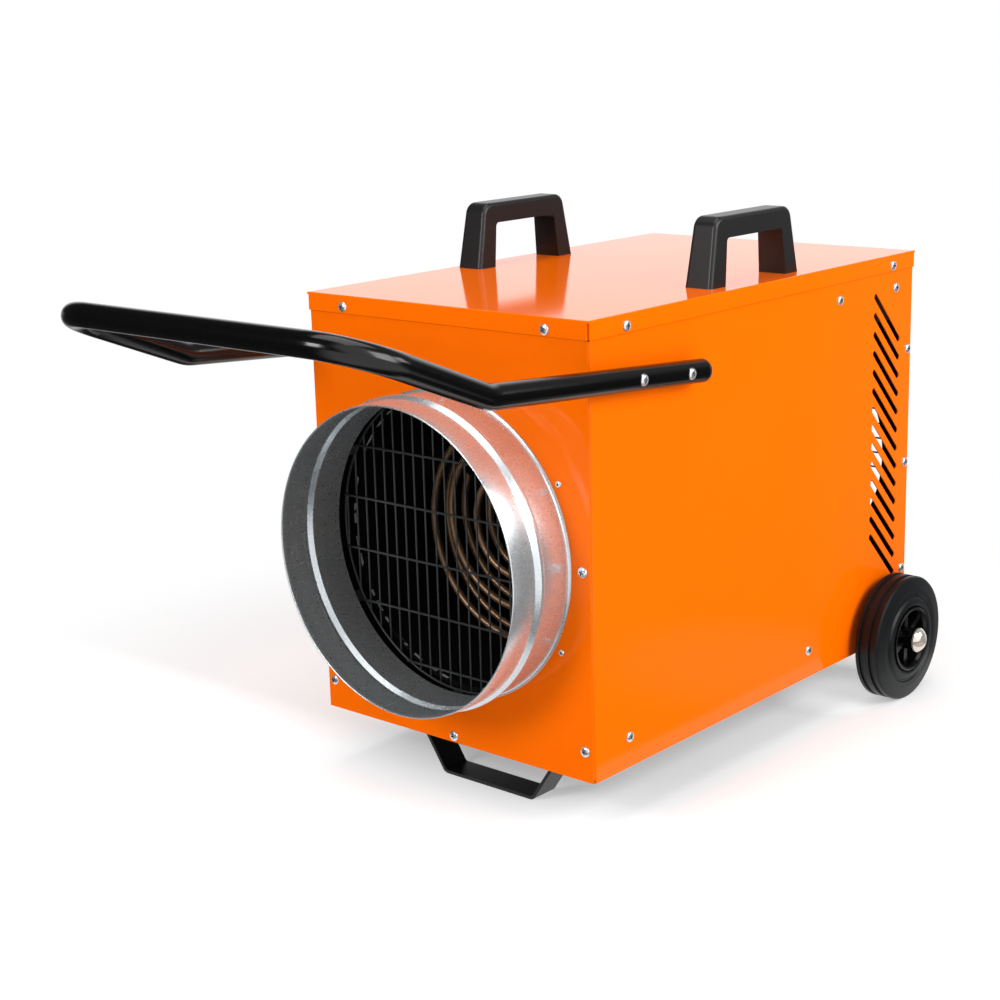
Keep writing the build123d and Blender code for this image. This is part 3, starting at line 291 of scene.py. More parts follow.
def painted_lit_edge(tree, spot, low, high, back):
    """Painted highlight: 1 on bits of a thin ring about the air axis, between two radii and in front of a station,
    else 0.
    """
    flat = add(tree, "ShaderNodeVectorMath", {0: spot, 1: (1, 0, 1)}, operation="MULTIPLY").outputs[0]
    axis = Vector((0, 0, at(0, 0, AIR_AXIS).z))
    radius = add(tree, "ShaderNodeVectorMath", {0: flat, 1: axis}, operation="DISTANCE").outputs["Value"]
    middle, half = (low + high) / 2 * MM, (high - low) / 2 * MM
    on_ring = add(tree, "ShaderNodeMath", {0: radius, 1: middle, 2: half}, operation="COMPARE").outputs[0]
    y = add(tree, "ShaderNodeSeparateXYZ", {0: spot}).outputs[1]
    in_front = add(tree, "ShaderNodeMath", {0: y, 1: at(0, back, 0).y}, operation="LESS_THAN").outputs[0]
    # Soft noise breaks the painted highlight into dashes, in place of the wires' shadows.
    bits = add(tree, "ShaderNodeTexNoise", {"Vector": spot, "Scale": 1 / BIT, "Detail": 1.0}).outputs["Fac"]
    dashes = add(tree, "ShaderNodeMapRange", {0: bits, 1: 0.49, 2: 0.53}).outputs[0]
    on_ring = add(tree, "ShaderNodeMath", {0: on_ring, 1: dashes}, operation="MULTIPLY").outputs[0]
    return add(tree, "ShaderNodeMath", {0: on_ring, 1: in_front}, operation="MULTIPLY").outputs[0]


# The painted shade stays inside this box.
print("primer stays inside a box of", tuple(round(2 * v, 3) for v in INSIDE_HALF), "metres")

# %% [markdown]
# ## Coated and moulded surfaces
# Powder coat is paint baked from dust: glossy, with a faint orange peel. Moulded plastics carry the spark-eroded
# grain of their mould. One function lays down what most finishes share, a base colour with a slight mottle, a grain
# in the gloss and a grain in the relief, each at its real size. A mould's grain is only about a tenth of a
# millimetre, too fine to show from here, so it is drawn about a millimetre coarse. Screw recesses get painted
# shade where little open sky is left, so no picture of it is needed. The same function paints the shade inside the
# casing and the highlight on the drum's edge.

# %% A coated or moulded surface
CLOUD = 90 * MM
# Light grey of the painted highlight on the drum's edge, and grey of the painted shade in screw recesses.
LIT_EDGE_GREY, RECESS_SHADE = "#9EA2A4", "#63686C"
NOISE_LOW, NOISE_HIGH = 0.3, 0.7


def surface(name, colour, mottle, gloss, grain, relief, metallic=0.0, ior=1.5, level=0.5, painted_shade=None, lit_ring=None,
            shade_reach=None):
    """Principled shader: two near colours mixed by soft noise, roughness as (low, high), grain and relief in mm.

    The last three arguments paint light and shade: the colour of painted shade on the inner faces and underside and
    of a painted shadow line under the lid's flange; a painted highlight on a ring about the air axis, by its two
    radii and how far back it goes; and the reach of painted shade in recesses. Sizes are in mm.
    """
    material = bpy.data.materials.new(name)
    material.use_nodes = True
    tree = material.node_tree
    tree.nodes.clear()
    spot = add(tree, "ShaderNodeTexCoord").outputs["Object"]
    cloud = add(tree, "ShaderNodeTexNoise", {"Vector": spot, "Scale": 1 / CLOUD, "Detail": 4.0})
    paint = add(tree, "ShaderNodeMix", {0: cloud.outputs["Fac"], 6: shade(colour), 7: shade(mottle)},
                data_type="RGBA").outputs[2]
    fine = add(tree, "ShaderNodeTexNoise", {"Vector": spot, "Scale": 1 / (grain * MM), "Detail": 2.0})
    rough = add(tree, "ShaderNodeMapRange", {
        0: fine.outputs["Fac"], 1: NOISE_LOW, 2: NOISE_HIGH, 3: gloss[0], 4: gloss[1]}).outputs[0]
    # Painted shade on the inner faces and underside, and a painted shadow line under the lid's flange.
    if painted_shade:
        painted_dark = inside_box(tree, spot, INSIDE_MIDDLE, INSIDE_HALF)
        behind_lid = inside_box(tree, spot, BEHIND_LID, BEHIND_LID_HALF)
        painted_dark = add(tree, "ShaderNodeMath", {0: painted_dark, 1: behind_lid}, operation="MAXIMUM").outputs[0]
        paint = add(tree, "ShaderNodeMix", {0: painted_dark, 6: paint, 7: shade(painted_shade)}, data_type="RGBA").outputs[2]
        rough = add(tree, "ShaderNodeMath", {0: rough, 1: painted_dark}, operation="MAXIMUM").outputs[0]
    # Painted highlight on the drum's front edge.
    if lit_ring:
        edge = painted_lit_edge(tree, spot, *lit_ring)
        paint = add(tree, "ShaderNodeMix", {0: edge, 6: paint, 7: shade(LIT_EDGE_GREY)}, data_type="RGBA").outputs[2]
    # Painted shade in recesses, where Ambient Occlusion finds little open sky.
    if shade_reach:
        open_sky = add(tree, "ShaderNodeAmbientOcclusion", {"Distance": shade_reach * MM}, samples=6).outputs["AO"]
        unshaded = add(tree, "ShaderNodeMapRange", {0: open_sky, 1: 0.45, 2: 0.8}).outputs[0]
        paint = add(tree, "ShaderNodeMix", {0: unshaded, 6: shade(RECESS_SHADE), 7: paint}, data_type="RGBA").outputs[2]
    bump = add(tree, "ShaderNodeBump", {"Strength": 1.0, "Distance": relief * MM, "Height": fine.outputs["Fac"]})
    shader = add(tree, "ShaderNodeBsdfPrincipled", {
        "Base Color": paint, "Roughness": rough, "Metallic": metallic, "IOR": ior, "Specular IOR Level": level,
        "Normal": bump.outputs[0]})
    add(tree, "ShaderNodeOutputMaterial", {"Surface": shader.outputs[0]})
    return material


print("base colour clouds are", CLOUD, "metres across")

# %% [markdown]
# ## The finishes
# Each starts from what the real one is and how its surface was made. Colour, gloss and IOR start from the usual
# values for it and are then matched to the photograph. Paint comes first, then plastics, then metal and ceramic.

# %% Coats and paints
# Gloss polyester powder coat: strong even orange, mirror-like at a low angle, peel about 2 mm across.
# Its inner faces and underside get painted shade, and a painted shadow line runs under the lid's flange.
powder_coat = surface("gloss orange powder coat", "#FC6D00", "#F96A00", (0.08, 0.11), 2.2, 0.002, ior=1.45,
                      level=0.17, painted_shade="#0A0808")
# Stoved enamel on the tube: deep black with a soft broad highlight.
enamel = surface("satin black stoved enamel", "#050505", "#070707", (0.17, 0.20), 1.5, 0.001, ior=1.45)
# Paint on wire: thin, black, a little glossier where it pooled.
wire_paint = surface("black dipped wire paint", "#292A2B", "#313233", (0.28, 0.38), 3.0, 0.01)
# Powder coat on the foot's flat bar: black and satin, scuffed dull by the floor.
bar_coat = surface("satin black coat on bar", "#0A0A0A", "#0E0E0E", (0.42, 0.52), 1.5, 0.006, level=0.3)
# Painted shade: the parts inside the casing are drawn flat black, as dark as the shade they lie in.
# A painted highlight sits on the drum's front edge.
painted_shade_black = surface("flat black painted shade", "#060606", "#090909", (0.55, 0.7), 1.5, 0.01, level=0.15,
                      lit_ring=(176.9, 177.6, 32))
print(powder_coat.name, "is", len(powder_coat.node_tree.nodes), "nodes")

# %% Plastics and rubber
# Glass-filled polyamide, moulded: black with a fine spark-eroded texture.
polyamide = surface("black moulded polyamide", "#171718", "#1B1B1C", (0.34, 0.40), 0.8, 0.006, level=0.4)
# Solid rubber: charcoal, dull, with a dusting of wax.
rubber = surface("charcoal solid rubber", "#0D0F10", "#121416", (0.38, 0.46), 1.2, 0.006, level=0.25)
# Polypropylene, moulded: the wheel's centre, black and a little glossier than the handles.
polypropylene = surface("black moulded polypropylene", "#060606", "#090909", (0.22, 0.30), 1.0, 0.006, ior=1.49)
# ABS, moulded: mid grey and dull, as on switch housings.
grey_abs = surface("grey ABS housing", "#55585B", "#5C5F62", (0.38, 0.48), 0.9, 0.012, ior=1.53)
# PBT, moulded: a warm off-white that stands heat, a little smoother than ABS.
white_pbt = surface("white PBT housing", "#D8D6D0", "#CFCDC6", (0.34, 0.42), 0.9, 0.012, ior=1.55)
# Nylon, moulded: deep even red with a satin sheen, on what a hand presses or plugs in.
red_nylon = surface("red moulded nylon", "#A81414", "#9E1212", (0.30, 0.38), 0.9, 0.012, ior=1.53)
# Polycarbonate, moulded in a polished mould: glassy red. No light shines behind it, so it needs no transparency.
lens = surface("red polycarbonate lens", "#B01208", "#C41A0C", (0.06, 0.10), 3.0, 0.002, ior=1.58)
print(rubber.name, "is", len(rubber.node_tree.nodes), "nodes")

# %% Metals and ceramic
# Nickel-iron sheath, oxidised by heat: bronze brown with a soft sheen.
sheath = surface("heat-tinted element sheath", "#957457", "#7E6048", (0.32, 0.40), 6.0, 0.01, metallic=0.6)
# Zinc plating, clear passivated: bright cool grey, with painted shade in the recesses.
zinc = surface("bright zinc plating", "#E8EBEE", "#DEE3E7", (0.20, 0.28), 1.0, 0.002, metallic=0.8, shade_reach=2.2)
# Nickel plating on the axle's end caps: a warm mirror.
nickel = surface("polished nickel plating", "#E4DACE", "#E8DFD5", (0.07, 0.10), 8.0, 0.001, metallic=0.7)
# Brass, turned: warm yellow, a little broken up by the tool's marks.
brass = surface("turned brass", "#B8935A", "#A9854E", (0.28, 0.36), 0.8, 0.01, metallic=1.0)
# Steatite, glazed: a cream ceramic that looks wet.
steatite = surface("glazed steatite", "#E9E4D8", "#DFD9CB", (0.15, 0.25), 4.0, 0.004, ior=1.55)
# Cast iron, painted: near black and dull over the rough skin that the sand leaves.
cast_iron = surface("painted cast iron", "#1C1E20", "#181A1C", (0.45, 0.6), 2.0, 0.05)
print(len(bpy.data.materials), "finishes so far")

# %% [markdown]
# ## Galvanised sheet
# Hot-dip galvanised steel is covered with zinc crystals, the spangle. Neighbouring crystals lie at different
# angles, so each one catches the light in its own way. On rolled duct sheet they are small: Voronoi cells about
# 2 mm across give each crystal its own tone and gloss, and tilt it by up to a degree. Plain noise would look like
# stains, because it has no cells with sharp borders. Zinc dulls in air to a whitish film, so the surface isn't
# quite fully metallic.

# %% Galvanised spigot
def galvanised(name, light, dark, flake, gloss, lean):
    """Zinc crystals of one size in mm, each with its own tone, its roughness from (low, high) and its own lean."""
    material = bpy.data.materials.new(name)
    material.use_nodes = True
    tree = material.node_tree
    tree.nodes.clear()
    spot = add(tree, "ShaderNodeTexCoord").outputs["Object"]
    cells = add(tree, "ShaderNodeTexVoronoi", {"Vector": spot, "Scale": 1 / (flake * MM)}).outputs["Color"]
    tone = add(tree, "ShaderNodeSeparateColor", {0: cells}).outputs
    colour = add(tree, "ShaderNodeMix", {0: tone[0], 6: shade(dark), 7: shade(light)}, data_type="RGBA").outputs[2]
    rough = add(tree, "ShaderNodeMapRange", {0: tone[1], 1: 0.0, 2: 1.0, 3: gloss[0], 4: gloss[1]}).outputs[0]
    tilt = add(tree, "ShaderNodeVectorMath", {0: cells, 1: (0.5, 0.5, 0.5)}, operation="SUBTRACT").outputs[0]
    tilt = add(tree, "ShaderNodeVectorMath", {0: tilt, "Scale": lean}, operation="SCALE").outputs[0]
    facing = add(tree, "ShaderNodeNewGeometry").outputs["Normal"]
    facing = add(tree, "ShaderNodeVectorMath", {0: facing, 1: tilt}, operation="ADD").outputs[0]
    facing = add(tree, "ShaderNodeVectorMath", {0: facing}, operation="NORMALIZE").outputs[0]
    shader = add(tree, "ShaderNodeBsdfPrincipled", {
        "Base Color": colour, "Roughness": rough, "Metallic": 0.82, "Normal": facing})
    add(tree, "ShaderNodeOutputMaterial", {"Surface": shader.outputs[0]})
    return material


spangle = galvanised("galvanised steel with spangle", "#E0E5E8", "#D6DCDF", 1.8, (0.27, 0.33), 0.02)
print(spangle.name, "is", len(spangle.node_tree.nodes), "nodes")

# %% [markdown]
# ## Put the finishes on
# The table reads as a parts list: one finish, then the names of the pieces that wear it. Pieces that are made
# again further down aren't in it.

# %% One finish for each piece
FINISHES = {
    powder_coat: "base_pan front_panel rear_panel right_side_panel left_side_panel top_cover axle_brackets",
    # Painted shade: the parts inside are drawn flat black.
    painted_shade_black: "heat_drum element_brackets fan_bulkhead motor_mount electrics_tray",
    brass: "element_collars inlet_pins",
    steatite: "element_terminals",
    cast_iron: "fan_motor",
    # Painted shade: the contactors are drawn in black polyamide, so that the top slots look dark.
    polyamide: "fan_impeller thermostat_knob selector_knob limit_thermostat right_carry_handle left_carry_handle "
               "push_handle_caps push_handle_spacers wheel_spacers contactors",
    grey_abs: "selector_body",
    white_pbt: "terminal_block thermostat_body",
    red_nylon: "power_inlet inlet_cover reset_button",
    lens: "pilot_lamps",
    enamel: "push_handle",
    bar_coat: "front_foot",
    rubber: "right_tyre left_tyre",
    polypropylene: "right_wheel_centre left_wheel_centre",
    nickel: "axle_caps",
    zinc: "motor_shaft thermostat_spindle selector_spindle inlet_hinge_pin push_handle_bushes push_handle_nuts "
          "carry_handle_screws foot_bolts foot_nuts axle",
}
for material, names in FINISHES.items():
    for name in names.split():
        piece = CAD[name]
        piece.data.materials.clear()
        piece.data.materials.append(material)
print(sum(len(names.split()) for names in FINISHES.values()), "pieces have their finish")

# %% [markdown]
# ## Geometry trees
# Screws, wires and swept tubes repeat or follow a path, so geometry trees make them. Three helpers serve every
# tree. The first opens a tree with named inputs. The second closes it: copies become real geometry, flat and round
# faces part at 35 degrees, and the finish goes on. The third runs a tree with its sizes set, keeps the result as
# one plain mesh on one body, and lets that mesh stand for the model's own plain piece.

# %% Open and close a tree
CORNER = radians(35)


def open_tree(name, inputs):
    """A geometry tree with one geometry input, and named inputs given as name: kind."""
    tree = bpy.data.node_groups.new(name, "GeometryNodeTree")
    tree.interface.new_socket("Start", in_out="INPUT", socket_type="NodeSocketGeometry")
    for label, kind in inputs.items():
        tree.interface.new_socket(label, in_out="INPUT", socket_type="NodeSocket" + kind)
    tree.interface.new_socket("Finish", in_out="INPUT", socket_type="NodeSocketMaterial")
    tree.interface.new_socket("Result", in_out="OUTPUT", socket_type="NodeSocketGeometry")
    return tree, add(tree, "NodeGroupInput").outputs


def close_tree(tree, shape, finish):
    """Real geometry, smooth but for its corners, with its finish."""
    real = add(tree, "GeometryNodeRealizeInstances", {0: shape}).outputs[0]
    smooth = add(tree, "GeometryNodeSetShadeSmooth", {0: real, 2: True}).outputs[0]
    angle = add(tree, "GeometryNodeInputMeshEdgeAngle").outputs[0]
    corner = add(tree, "FunctionNodeCompare", {0: angle, 1: CORNER}, operation="GREATER_THAN").outputs[0]
    smooth = add(tree, "GeometryNodeSetShadeSmooth", {0: smooth, 1: corner, 2: False}, domain="EDGE").outputs[0]
    dressed = add(tree, "GeometryNodeSetMaterial", {0: smooth, 2: finish}).outputs[0]
    add(tree, "NodeGroupOutput", {0: dressed})


print("faces part at", round(CORNER * 180 / pi), "degrees")


# %% Run a tree
def run_tree(name, tree, start, sizes, finish, node):
    """Runs the tree on a start mesh and keeps a plain mesh in place of one node of the model."""
    piece = bpy.data.objects.new(name, start)
    bpy.context.scene.collection.objects.link(piece)
    modifier = piece.modifiers.new("tree", "NODES")
    modifier.node_group = tree
    sockets = {item.name: item.identifier for item in tree.interface.items_tree if item.in_out == "INPUT"}
    for label, value in {**sizes, "Finish": finish}.items():
        modifier[sockets[label]] = value
    graph = bpy.context.evaluated_depsgraph_get()
    mesh = bpy.data.meshes.new_from_object(piece.evaluated_get(graph), depsgraph=graph)
    piece.modifiers.clear()
    piece.data = mesh
    mesh.name = name
    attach(piece, "casing")
    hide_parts(node)
    print(name, "has", len(mesh.polygons), "faces")


print("tree helpers are ready")

# %% [markdown]
# ## Screw heads
# Sheet metal is held with zinc-plated pan heads with a cross recess, and the grille's tabs with hollow rivets. The
# tree makes one head: a ball with its lower half flattened and its upper half raised to a power below one, which
# gives a pan head's flat top and steep flank, minus a cross of two bars or a round bore, on a short shank.

# %% One screw
DOME_POWER, UNDERSIDE = 0.6, 0.1


def pan_shape(tree, given):
    """A pan head that stands on the ground, with its top up."""
    ball = add(tree, "GeometryNodeMeshUVSphere", {"Segments": 28, "Rings": 14, "Radius": 1.0}).outputs[0]
    spot = add(tree, "GeometryNodeInputPosition").outputs[0]
    x, y, height = add(tree, "ShaderNodeSeparateXYZ", {0: spot}).outputs
    rise = add(tree, "ShaderNodeMath", {0: height, 1: 0.0}, operation="MAXIMUM").outputs[0]
    rise = add(tree, "ShaderNodeMath", {0: rise, 1: DOME_POWER}, operation="POWER").outputs[0]
    sink = add(tree, "ShaderNodeMath", {0: height, 1: 0.0}, operation="MINIMUM").outputs[0]
    level = add(tree, "ShaderNodeMath", {0: sink, 1: UNDERSIDE, 2: rise}, operation="MULTIPLY_ADD").outputs[0]
    pressed = add(tree, "ShaderNodeCombineXYZ", {0: x, 1: y, 2: level}).outputs[0]
    head = add(tree, "GeometryNodeSetPosition", {0: ball, 2: pressed}).outputs[0]
    size = add(tree, "ShaderNodeCombineXYZ", {0: given["Radius"], 1: given["Radius"], 2: given["Height"]}).outputs[0]
    return add(tree, "GeometryNodeTransform", {"Geometry": head, "Scale": size}).outputs[0]


def recessed(tree, given, head, drive):
    """The head with its recess cut into its top; drive is a cross or a bore."""
    top = add(tree, "ShaderNodeCombineXYZ", {2: given["Height"]}).outputs[0]
    deep = add(tree, "ShaderNodeMath", {0: given["Depth"], 1: 2.0}, operation="MULTIPLY").outputs[0]
    cut = add(tree, "GeometryNodeMeshBoolean", {0: head}, operation="DIFFERENCE", solver="EXACT")
    if drive == "cross":
        for long_way in ((0, 1), (1, 0)):
            feeds = {long_way[0]: given["Recess"], long_way[1]: given["Recess width"], 2: deep}
            bar = add(tree, "GeometryNodeMeshCube", {0: add(tree, "ShaderNodeCombineXYZ", feeds).outputs[0]})
            bar = add(tree, "GeometryNodeTransform", {"Geometry": bar.outputs[0], "Translation": top}).outputs[0]
            tree.links.new(bar, cut.inputs[1])
    else:
        bore = add(tree, "GeometryNodeMeshCylinder", {"Vertices": 20, "Radius": given["Recess"], "Depth": deep})
        bore = add(tree, "GeometryNodeTransform", {"Geometry": bore.outputs[0], "Translation": top}).outputs[0]
        tree.links.new(bore, cut.inputs[1])
    return cut.outputs[0]


def on_shank(tree, given, head):
    """The head joined with the shank under it."""
    half = add(tree, "ShaderNodeMath", {0: given["Shank"], 1: -0.5}, operation="MULTIPLY").outputs[0]
    shank = add(tree, "GeometryNodeMeshCylinder", {
        "Vertices": 16, "Radius": given["Shank radius"], "Depth": given["Shank"]}).outputs[0]
    sunk = add(tree, "ShaderNodeCombineXYZ", {2: half}).outputs[0]
    shank = add(tree, "GeometryNodeTransform", {"Geometry": shank, "Translation": sunk}).outputs[0]
    screw = add(tree, "GeometryNodeJoinGeometry", {0: head})
    tree.links.new(shank, screw.inputs[0])
    return screw.outputs[0]


print("a head's dome has the power", DOME_POWER)

# %% [markdown]
# The tree puts a copy of the screw on every marked point, turned to face the way the mark says. A fitter never stops
# all screws at one angle, so each copy has its own twist from a seeded random value. Placing them by hand would work
# as well, but then a change to the head would have to be made in every place.

# %% Copies of it on marks
def head_tree(name, drive):
    """Screw heads on marked points; drive is the recess, a cross or a bore."""
    inputs = {"Radius": "Float", "Height": "Float", "Recess": "Float", "Recess width": "Float", "Depth": "Float",
              "Shank radius": "Float", "Shank": "Float", "Seed": "Int"}
    tree, given = open_tree(name, inputs)
    screw = on_shank(tree, given, recessed(tree, given, pan_shape(tree, given), drive))
    facing = add(tree, "GeometryNodeInputNamedAttribute", {0: "facing"}, data_type="FLOAT_VECTOR").outputs[0]
    turned = add(tree, "FunctionNodeAlignRotationToVector", {"Vector": facing}, axis="Z").outputs[0]
    twist = add(tree, "FunctionNodeRandomValue", {2: 0.0, 3: pi, "Seed": given["Seed"]}, data_type="FLOAT")
    spin = add(tree, "FunctionNodeAxisAngleToRotation", {0: (0, 0, 1), 1: twist.outputs[1]}).outputs[0]
    turned = add(tree, "FunctionNodeRotateRotation", {0: turned, 1: spin}, rotation_space="LOCAL").outputs[0]
    copies = add(tree, "GeometryNodeInstanceOnPoints", {
        "Points": given["Start"], "Instance": screw, "Rotation": turned}).outputs[0]
    close_tree(tree, copies, given["Finish"])
    return tree


cross_head = head_tree("cross recess head", "cross")
hollow_head = head_tree("hollow rivet head", "bore")
print("head trees have", len(cross_head.nodes), "and", len(hollow_head.nodes), "nodes")


# %% Mark the places
def marks(name, places):
    """A mesh of loose points, each with the way its screw faces: places are (point in mm, direction)."""
    mesh = bpy.data.meshes.new(name + " marks")
    mesh.from_pydata([at(*point) for point, facing in places], [], [])
    way = mesh.attributes.new("facing", "FLOAT_VECTOR", "POINT")
    way.data.foreach_set("vector", [float(part) for point, facing in places for part in facing])
    return mesh


FRONT_WAY, BACK_WAY = (0, -1, 0), (0, 1, 0)
LID_ROW = 500.5
LID_SIDE, PANEL_SIDE, TUBE_SIDE = 210, 208, 235.95
SIDE_SCREWS = [(66, 36), (438, 35.5), (668, 90), (670, 235.5), (670, 387), (500, 471.5), (636, 471)]
panel_places = [((x, 0, LID_ROW), FRONT_WAY) for x in (-151, 151)]
panel_places += [((x, 680, LID_ROW), BACK_WAY) for x in (-151, 151)]
panel_places += [((x, 2, z), FRONT_WAY) for x in (-196, 196) for z in (35.5, 241, 447)] + [((0, 2, 8), FRONT_WAY)]
panel_places += [((x, 678, 10), BACK_WAY) for x in (-60, 0, 60)]
for side in (-1, 1):
    panel_places += [((LID_SIDE * side, y, LID_ROW), (side, 0, 0)) for y in (65, 624)]
    panel_places += [((PANEL_SIDE * side, y, z), (side, 0, 0)) for y, z in SIDE_SCREWS]


def ring(radius, first, count, y, facing):
    """Marks spaced evenly on a ring about the air axis."""
    turns = [first + 2 * pi * i / count for i in range(count)]
    return [((radius * cos(turn), y, AIR_AXIS + radius * sin(turn)), facing) for turn in turns]


guard_places = ring(188, pi / 4, 4, 679.5, BACK_WAY)
grille_places = ring(190, pi / 6, 6, 2, FRONT_WAY)
bolt_places = [((side * TUBE_SIDE, y, z), (side, 0, 0)) for side in (-1, 1) for y, z in ((60, 445.6), (147, 438.5))]
print(len(panel_places + guard_places + grille_places + bolt_places), "places are marked")

# %% Make the screws
pan_head = {"Radius": 6.2 * MM, "Height": 3.0 * MM, "Recess": 6.2 * MM, "Recess width": 1.7 * MM,
            "Depth": 2.3 * MM, "Shank radius": 2.0 * MM, "Shank": 8 * MM, "Seed": 3}
hollow = {"Radius": 3.7 * MM, "Height": 1.8 * MM, "Recess": 1.6 * MM, "Depth": 1.5 * MM,
          "Shank radius": 1.6 * MM, "Shank": 4 * MM, "Seed": 1}
bolt = {**pan_head, "Radius": 6.3 * MM, "Height": 3.4 * MM, "Recess": 6.6 * MM, "Recess width": 1.8 * MM,
        "Shank radius": 4.0 * MM, "Shank": 35.9 * MM, "Seed": 5}
run_tree("panel_screw_heads", cross_head, marks("panel", panel_places), pan_head, zinc, "panel_screws")
run_tree("guard_screw_heads", cross_head, marks("guard", guard_places), pan_head, zinc, "guard_screws")
run_tree("grille_rivets", hollow_head, marks("grille", grille_places), hollow, zinc, "grille_screws")
run_tree("handle_bolts", cross_head, marks("bolt", bolt_places), bolt, zinc, "push_handle_bolts")

# %% [markdown]
# ## Spigot
# The spigot is sheet 0.8 mm thick, rolled to a tube and lapped along a seam. Its rim is hemmed inwards, which makes
# it stiff and safe to handle. Rolling the hem draws the wall in a little towards the rim. A bead with two straight
# slopes is swaged round it, against which a hose clamp seats. Turning one section about the air axis gives all of
# this, and the lap is a narrow sector where the inner wall stands inwards. A Screw modifier could turn the section
# too, but it has no way to step the wall at the seam. Points that lie close together on both sides of each bend
# keep the bends crisp under smooth shading.

# %% The spigot's section
OUTER_SECTION = [(175.7, -90.1), (175.82, -90.55), (176.15, -90.88), (176.6, -91), (177.05, -90.88),
                 (177.38, -90.55), (177.5, -90.1), (177.6, -89.2), (177.95, -86), (178.3, -82), (178.5, -78),
                 (178.55, -72), (178.35, -66), (178.1, -61), (178, -57.2), (178, -56.2), (178.3, -55.4),
                 (178.7, -54.8), (181.3, -50.9), (181.7, -50.3), (182, -49.8), (182, -49.2), (182, -46.6),
                 (182, -46), (181.7, -45.4), (181.3, -44.8), (178.7, -40.9), (178.3, -40.3), (178, -39.8),
                 (178, -38.8), (178, -2.4), (178, -1.6), (178.5, -0.5), (179.3, 0.1), (180, 0.3), (180.8, 0.3),
                 (181.2, 0.6), (181.2, 1.9), (178, 1.9), (178, 3.2)]
INNER_SECTION = [(177.2, 3.2), (177.2, -38.8), (177.2, -39.8), (177.5, -40.3), (177.9, -40.9), (180.5, -44.8),
                 (180.9, -45.4), (181.2, -46), (181.2, -46.6), (181.2, -49.2), (181.2, -49.8), (180.9, -50.3),
                 (180.5, -50.9), (177.9, -54.8), (177.5, -55.4), (177.2, -56.2), (177.2, -57.2), (177.6, -68),
                 (177.6, -76), (177.3, -82.4), (177.1, -83.4), (176.2, -83.8), (176, -84.6)]
print("section has", len(OUTER_SECTION + INNER_SECTION), "points")

# %% Turn the section
SEAM, LAP_SECTOR, LAP = radians(-99), radians(4), 0.5
AROUND, LAP_EDGE = 200, 0.0005


def turned_section(name):
    """The section turned about the air axis, with the lapped sector beside the seam."""
    turns = [2 * pi * i / AROUND - pi for i in range(AROUND)]
    turns += [SEAM, SEAM + LAP_EDGE, SEAM - LAP_SECTOR, SEAM - LAP_SECTOR - LAP_EDGE]
    turns.sort()
    section = OUTER_SECTION + INNER_SECTION
    tail = INNER_SECTION[0][1]
    verts, faces = [], []
    for turn in turns:
        lapped = SEAM - LAP_SECTOR <= turn <= SEAM
        for number, (radius, y) in enumerate(section):
            if lapped and number >= len(OUTER_SECTION) and y < tail:
                radius -= LAP
            verts.append(at(radius * cos(turn), y, AIR_AXIS + radius * sin(turn)))
    count = len(section)
    for i in range(len(turns)):
        here, after = i * count, (i + 1) % len(turns) * count
        for j in range(count):
            k = (j + 1) % count
            faces.append((here + j, after + j, after + k, here + k))
    mesh = bpy.data.meshes.new(name)
    mesh.from_pydata(verts, [], faces)
    return mesh


tree, given = open_tree("dressed section", {})
close_tree(tree, given["Start"], given["Finish"])
run_tree("spigot_tube", tree, turned_section("spigot section"), {}, spangle, "duct_spigot")

# %% [markdown]
# ## Welded wire
# The outlet grille and the rear guard are the same product: straight round wires in two layers, welded where they
# cross, cut to a circle and welded to a round rim. In the tree, a row of points gets a unit line on each point,
# stretched to the circle's chord there, and a round profile swept along it. The second layer is the same row
# turned by a quarter. An Array modifier could repeat a wire too, but it can't cut each one to its chord. Flat tabs
# with a bent foot stand round the rim. The mesh is drawn lying down and then stood up, so its upper side faces the
# front.

# %% One layer of wires
def layer(tree, given, axis, wire, pitch, count):
    """A row of wires spaced along axis 0 or 1, each as long as the rim's chord where it lies."""
    across = 1 - axis
    gaps = add(tree, "ShaderNodeMath", {0: given[count], 1: 1.0}, operation="SUBTRACT").outputs[0]
    span = add(tree, "ShaderNodeMath", {0: gaps, 1: given[pitch]}, operation="MULTIPLY").outputs[0]
    first = add(tree, "ShaderNodeMath", {0: span, 1: -0.5}, operation="MULTIPLY").outputs[0]
    row = add(tree, "GeometryNodeMeshLine", {
        "Count": given[count],
        "Start Location": add(tree, "ShaderNodeCombineXYZ", {axis: first}).outputs[0],
        "Offset": add(tree, "ShaderNodeCombineXYZ", {axis: given[pitch]}).outputs[0]}).outputs[0]
    spot = add(tree, "GeometryNodeInputPosition").outputs[0]
    off = add(tree, "ShaderNodeSeparateXYZ", {0: spot}).outputs[axis]
    off = add(tree, "ShaderNodeMath", {0: off, 1: 2.0}, operation="POWER").outputs[0]
    most = add(tree, "ShaderNodeMath", {0: given["Rim radius"], 1: 2.0}, operation="POWER").outputs[0]
    chord = add(tree, "ShaderNodeMath", {0: most, 1: off}, operation="SUBTRACT").outputs[0]
    chord = add(tree, "ShaderNodeMath", {0: chord}, operation="SQRT").outputs[0]
    unit = Vector((across == 0, across == 1, 0))
    line = add(tree, "GeometryNodeCurvePrimitiveLine", {"Start": -unit, "End": unit}).outputs[0]
    stretch = add(tree, "ShaderNodeCombineXYZ", {0: 1.0, 1: 1.0, 2: 1.0, across: chord}).outputs[0]
    wires = add(tree, "GeometryNodeInstanceOnPoints", {"Points": row, "Instance": line, "Scale": stretch}).outputs[0]
    wires = add(tree, "GeometryNodeRealizeInstances", {0: wires}).outputs[0]
    round_bar = add(tree, "GeometryNodeCurvePrimitiveCircle", {"Resolution": 10, "Radius": given[wire]})
    return add(tree, "GeometryNodeCurveToMesh", {
        "Curve": wires, "Profile Curve": round_bar.outputs[0], "Fill Caps": True}).outputs[0]


print("a layer takes its wire, pitch and count from the tree's inputs")


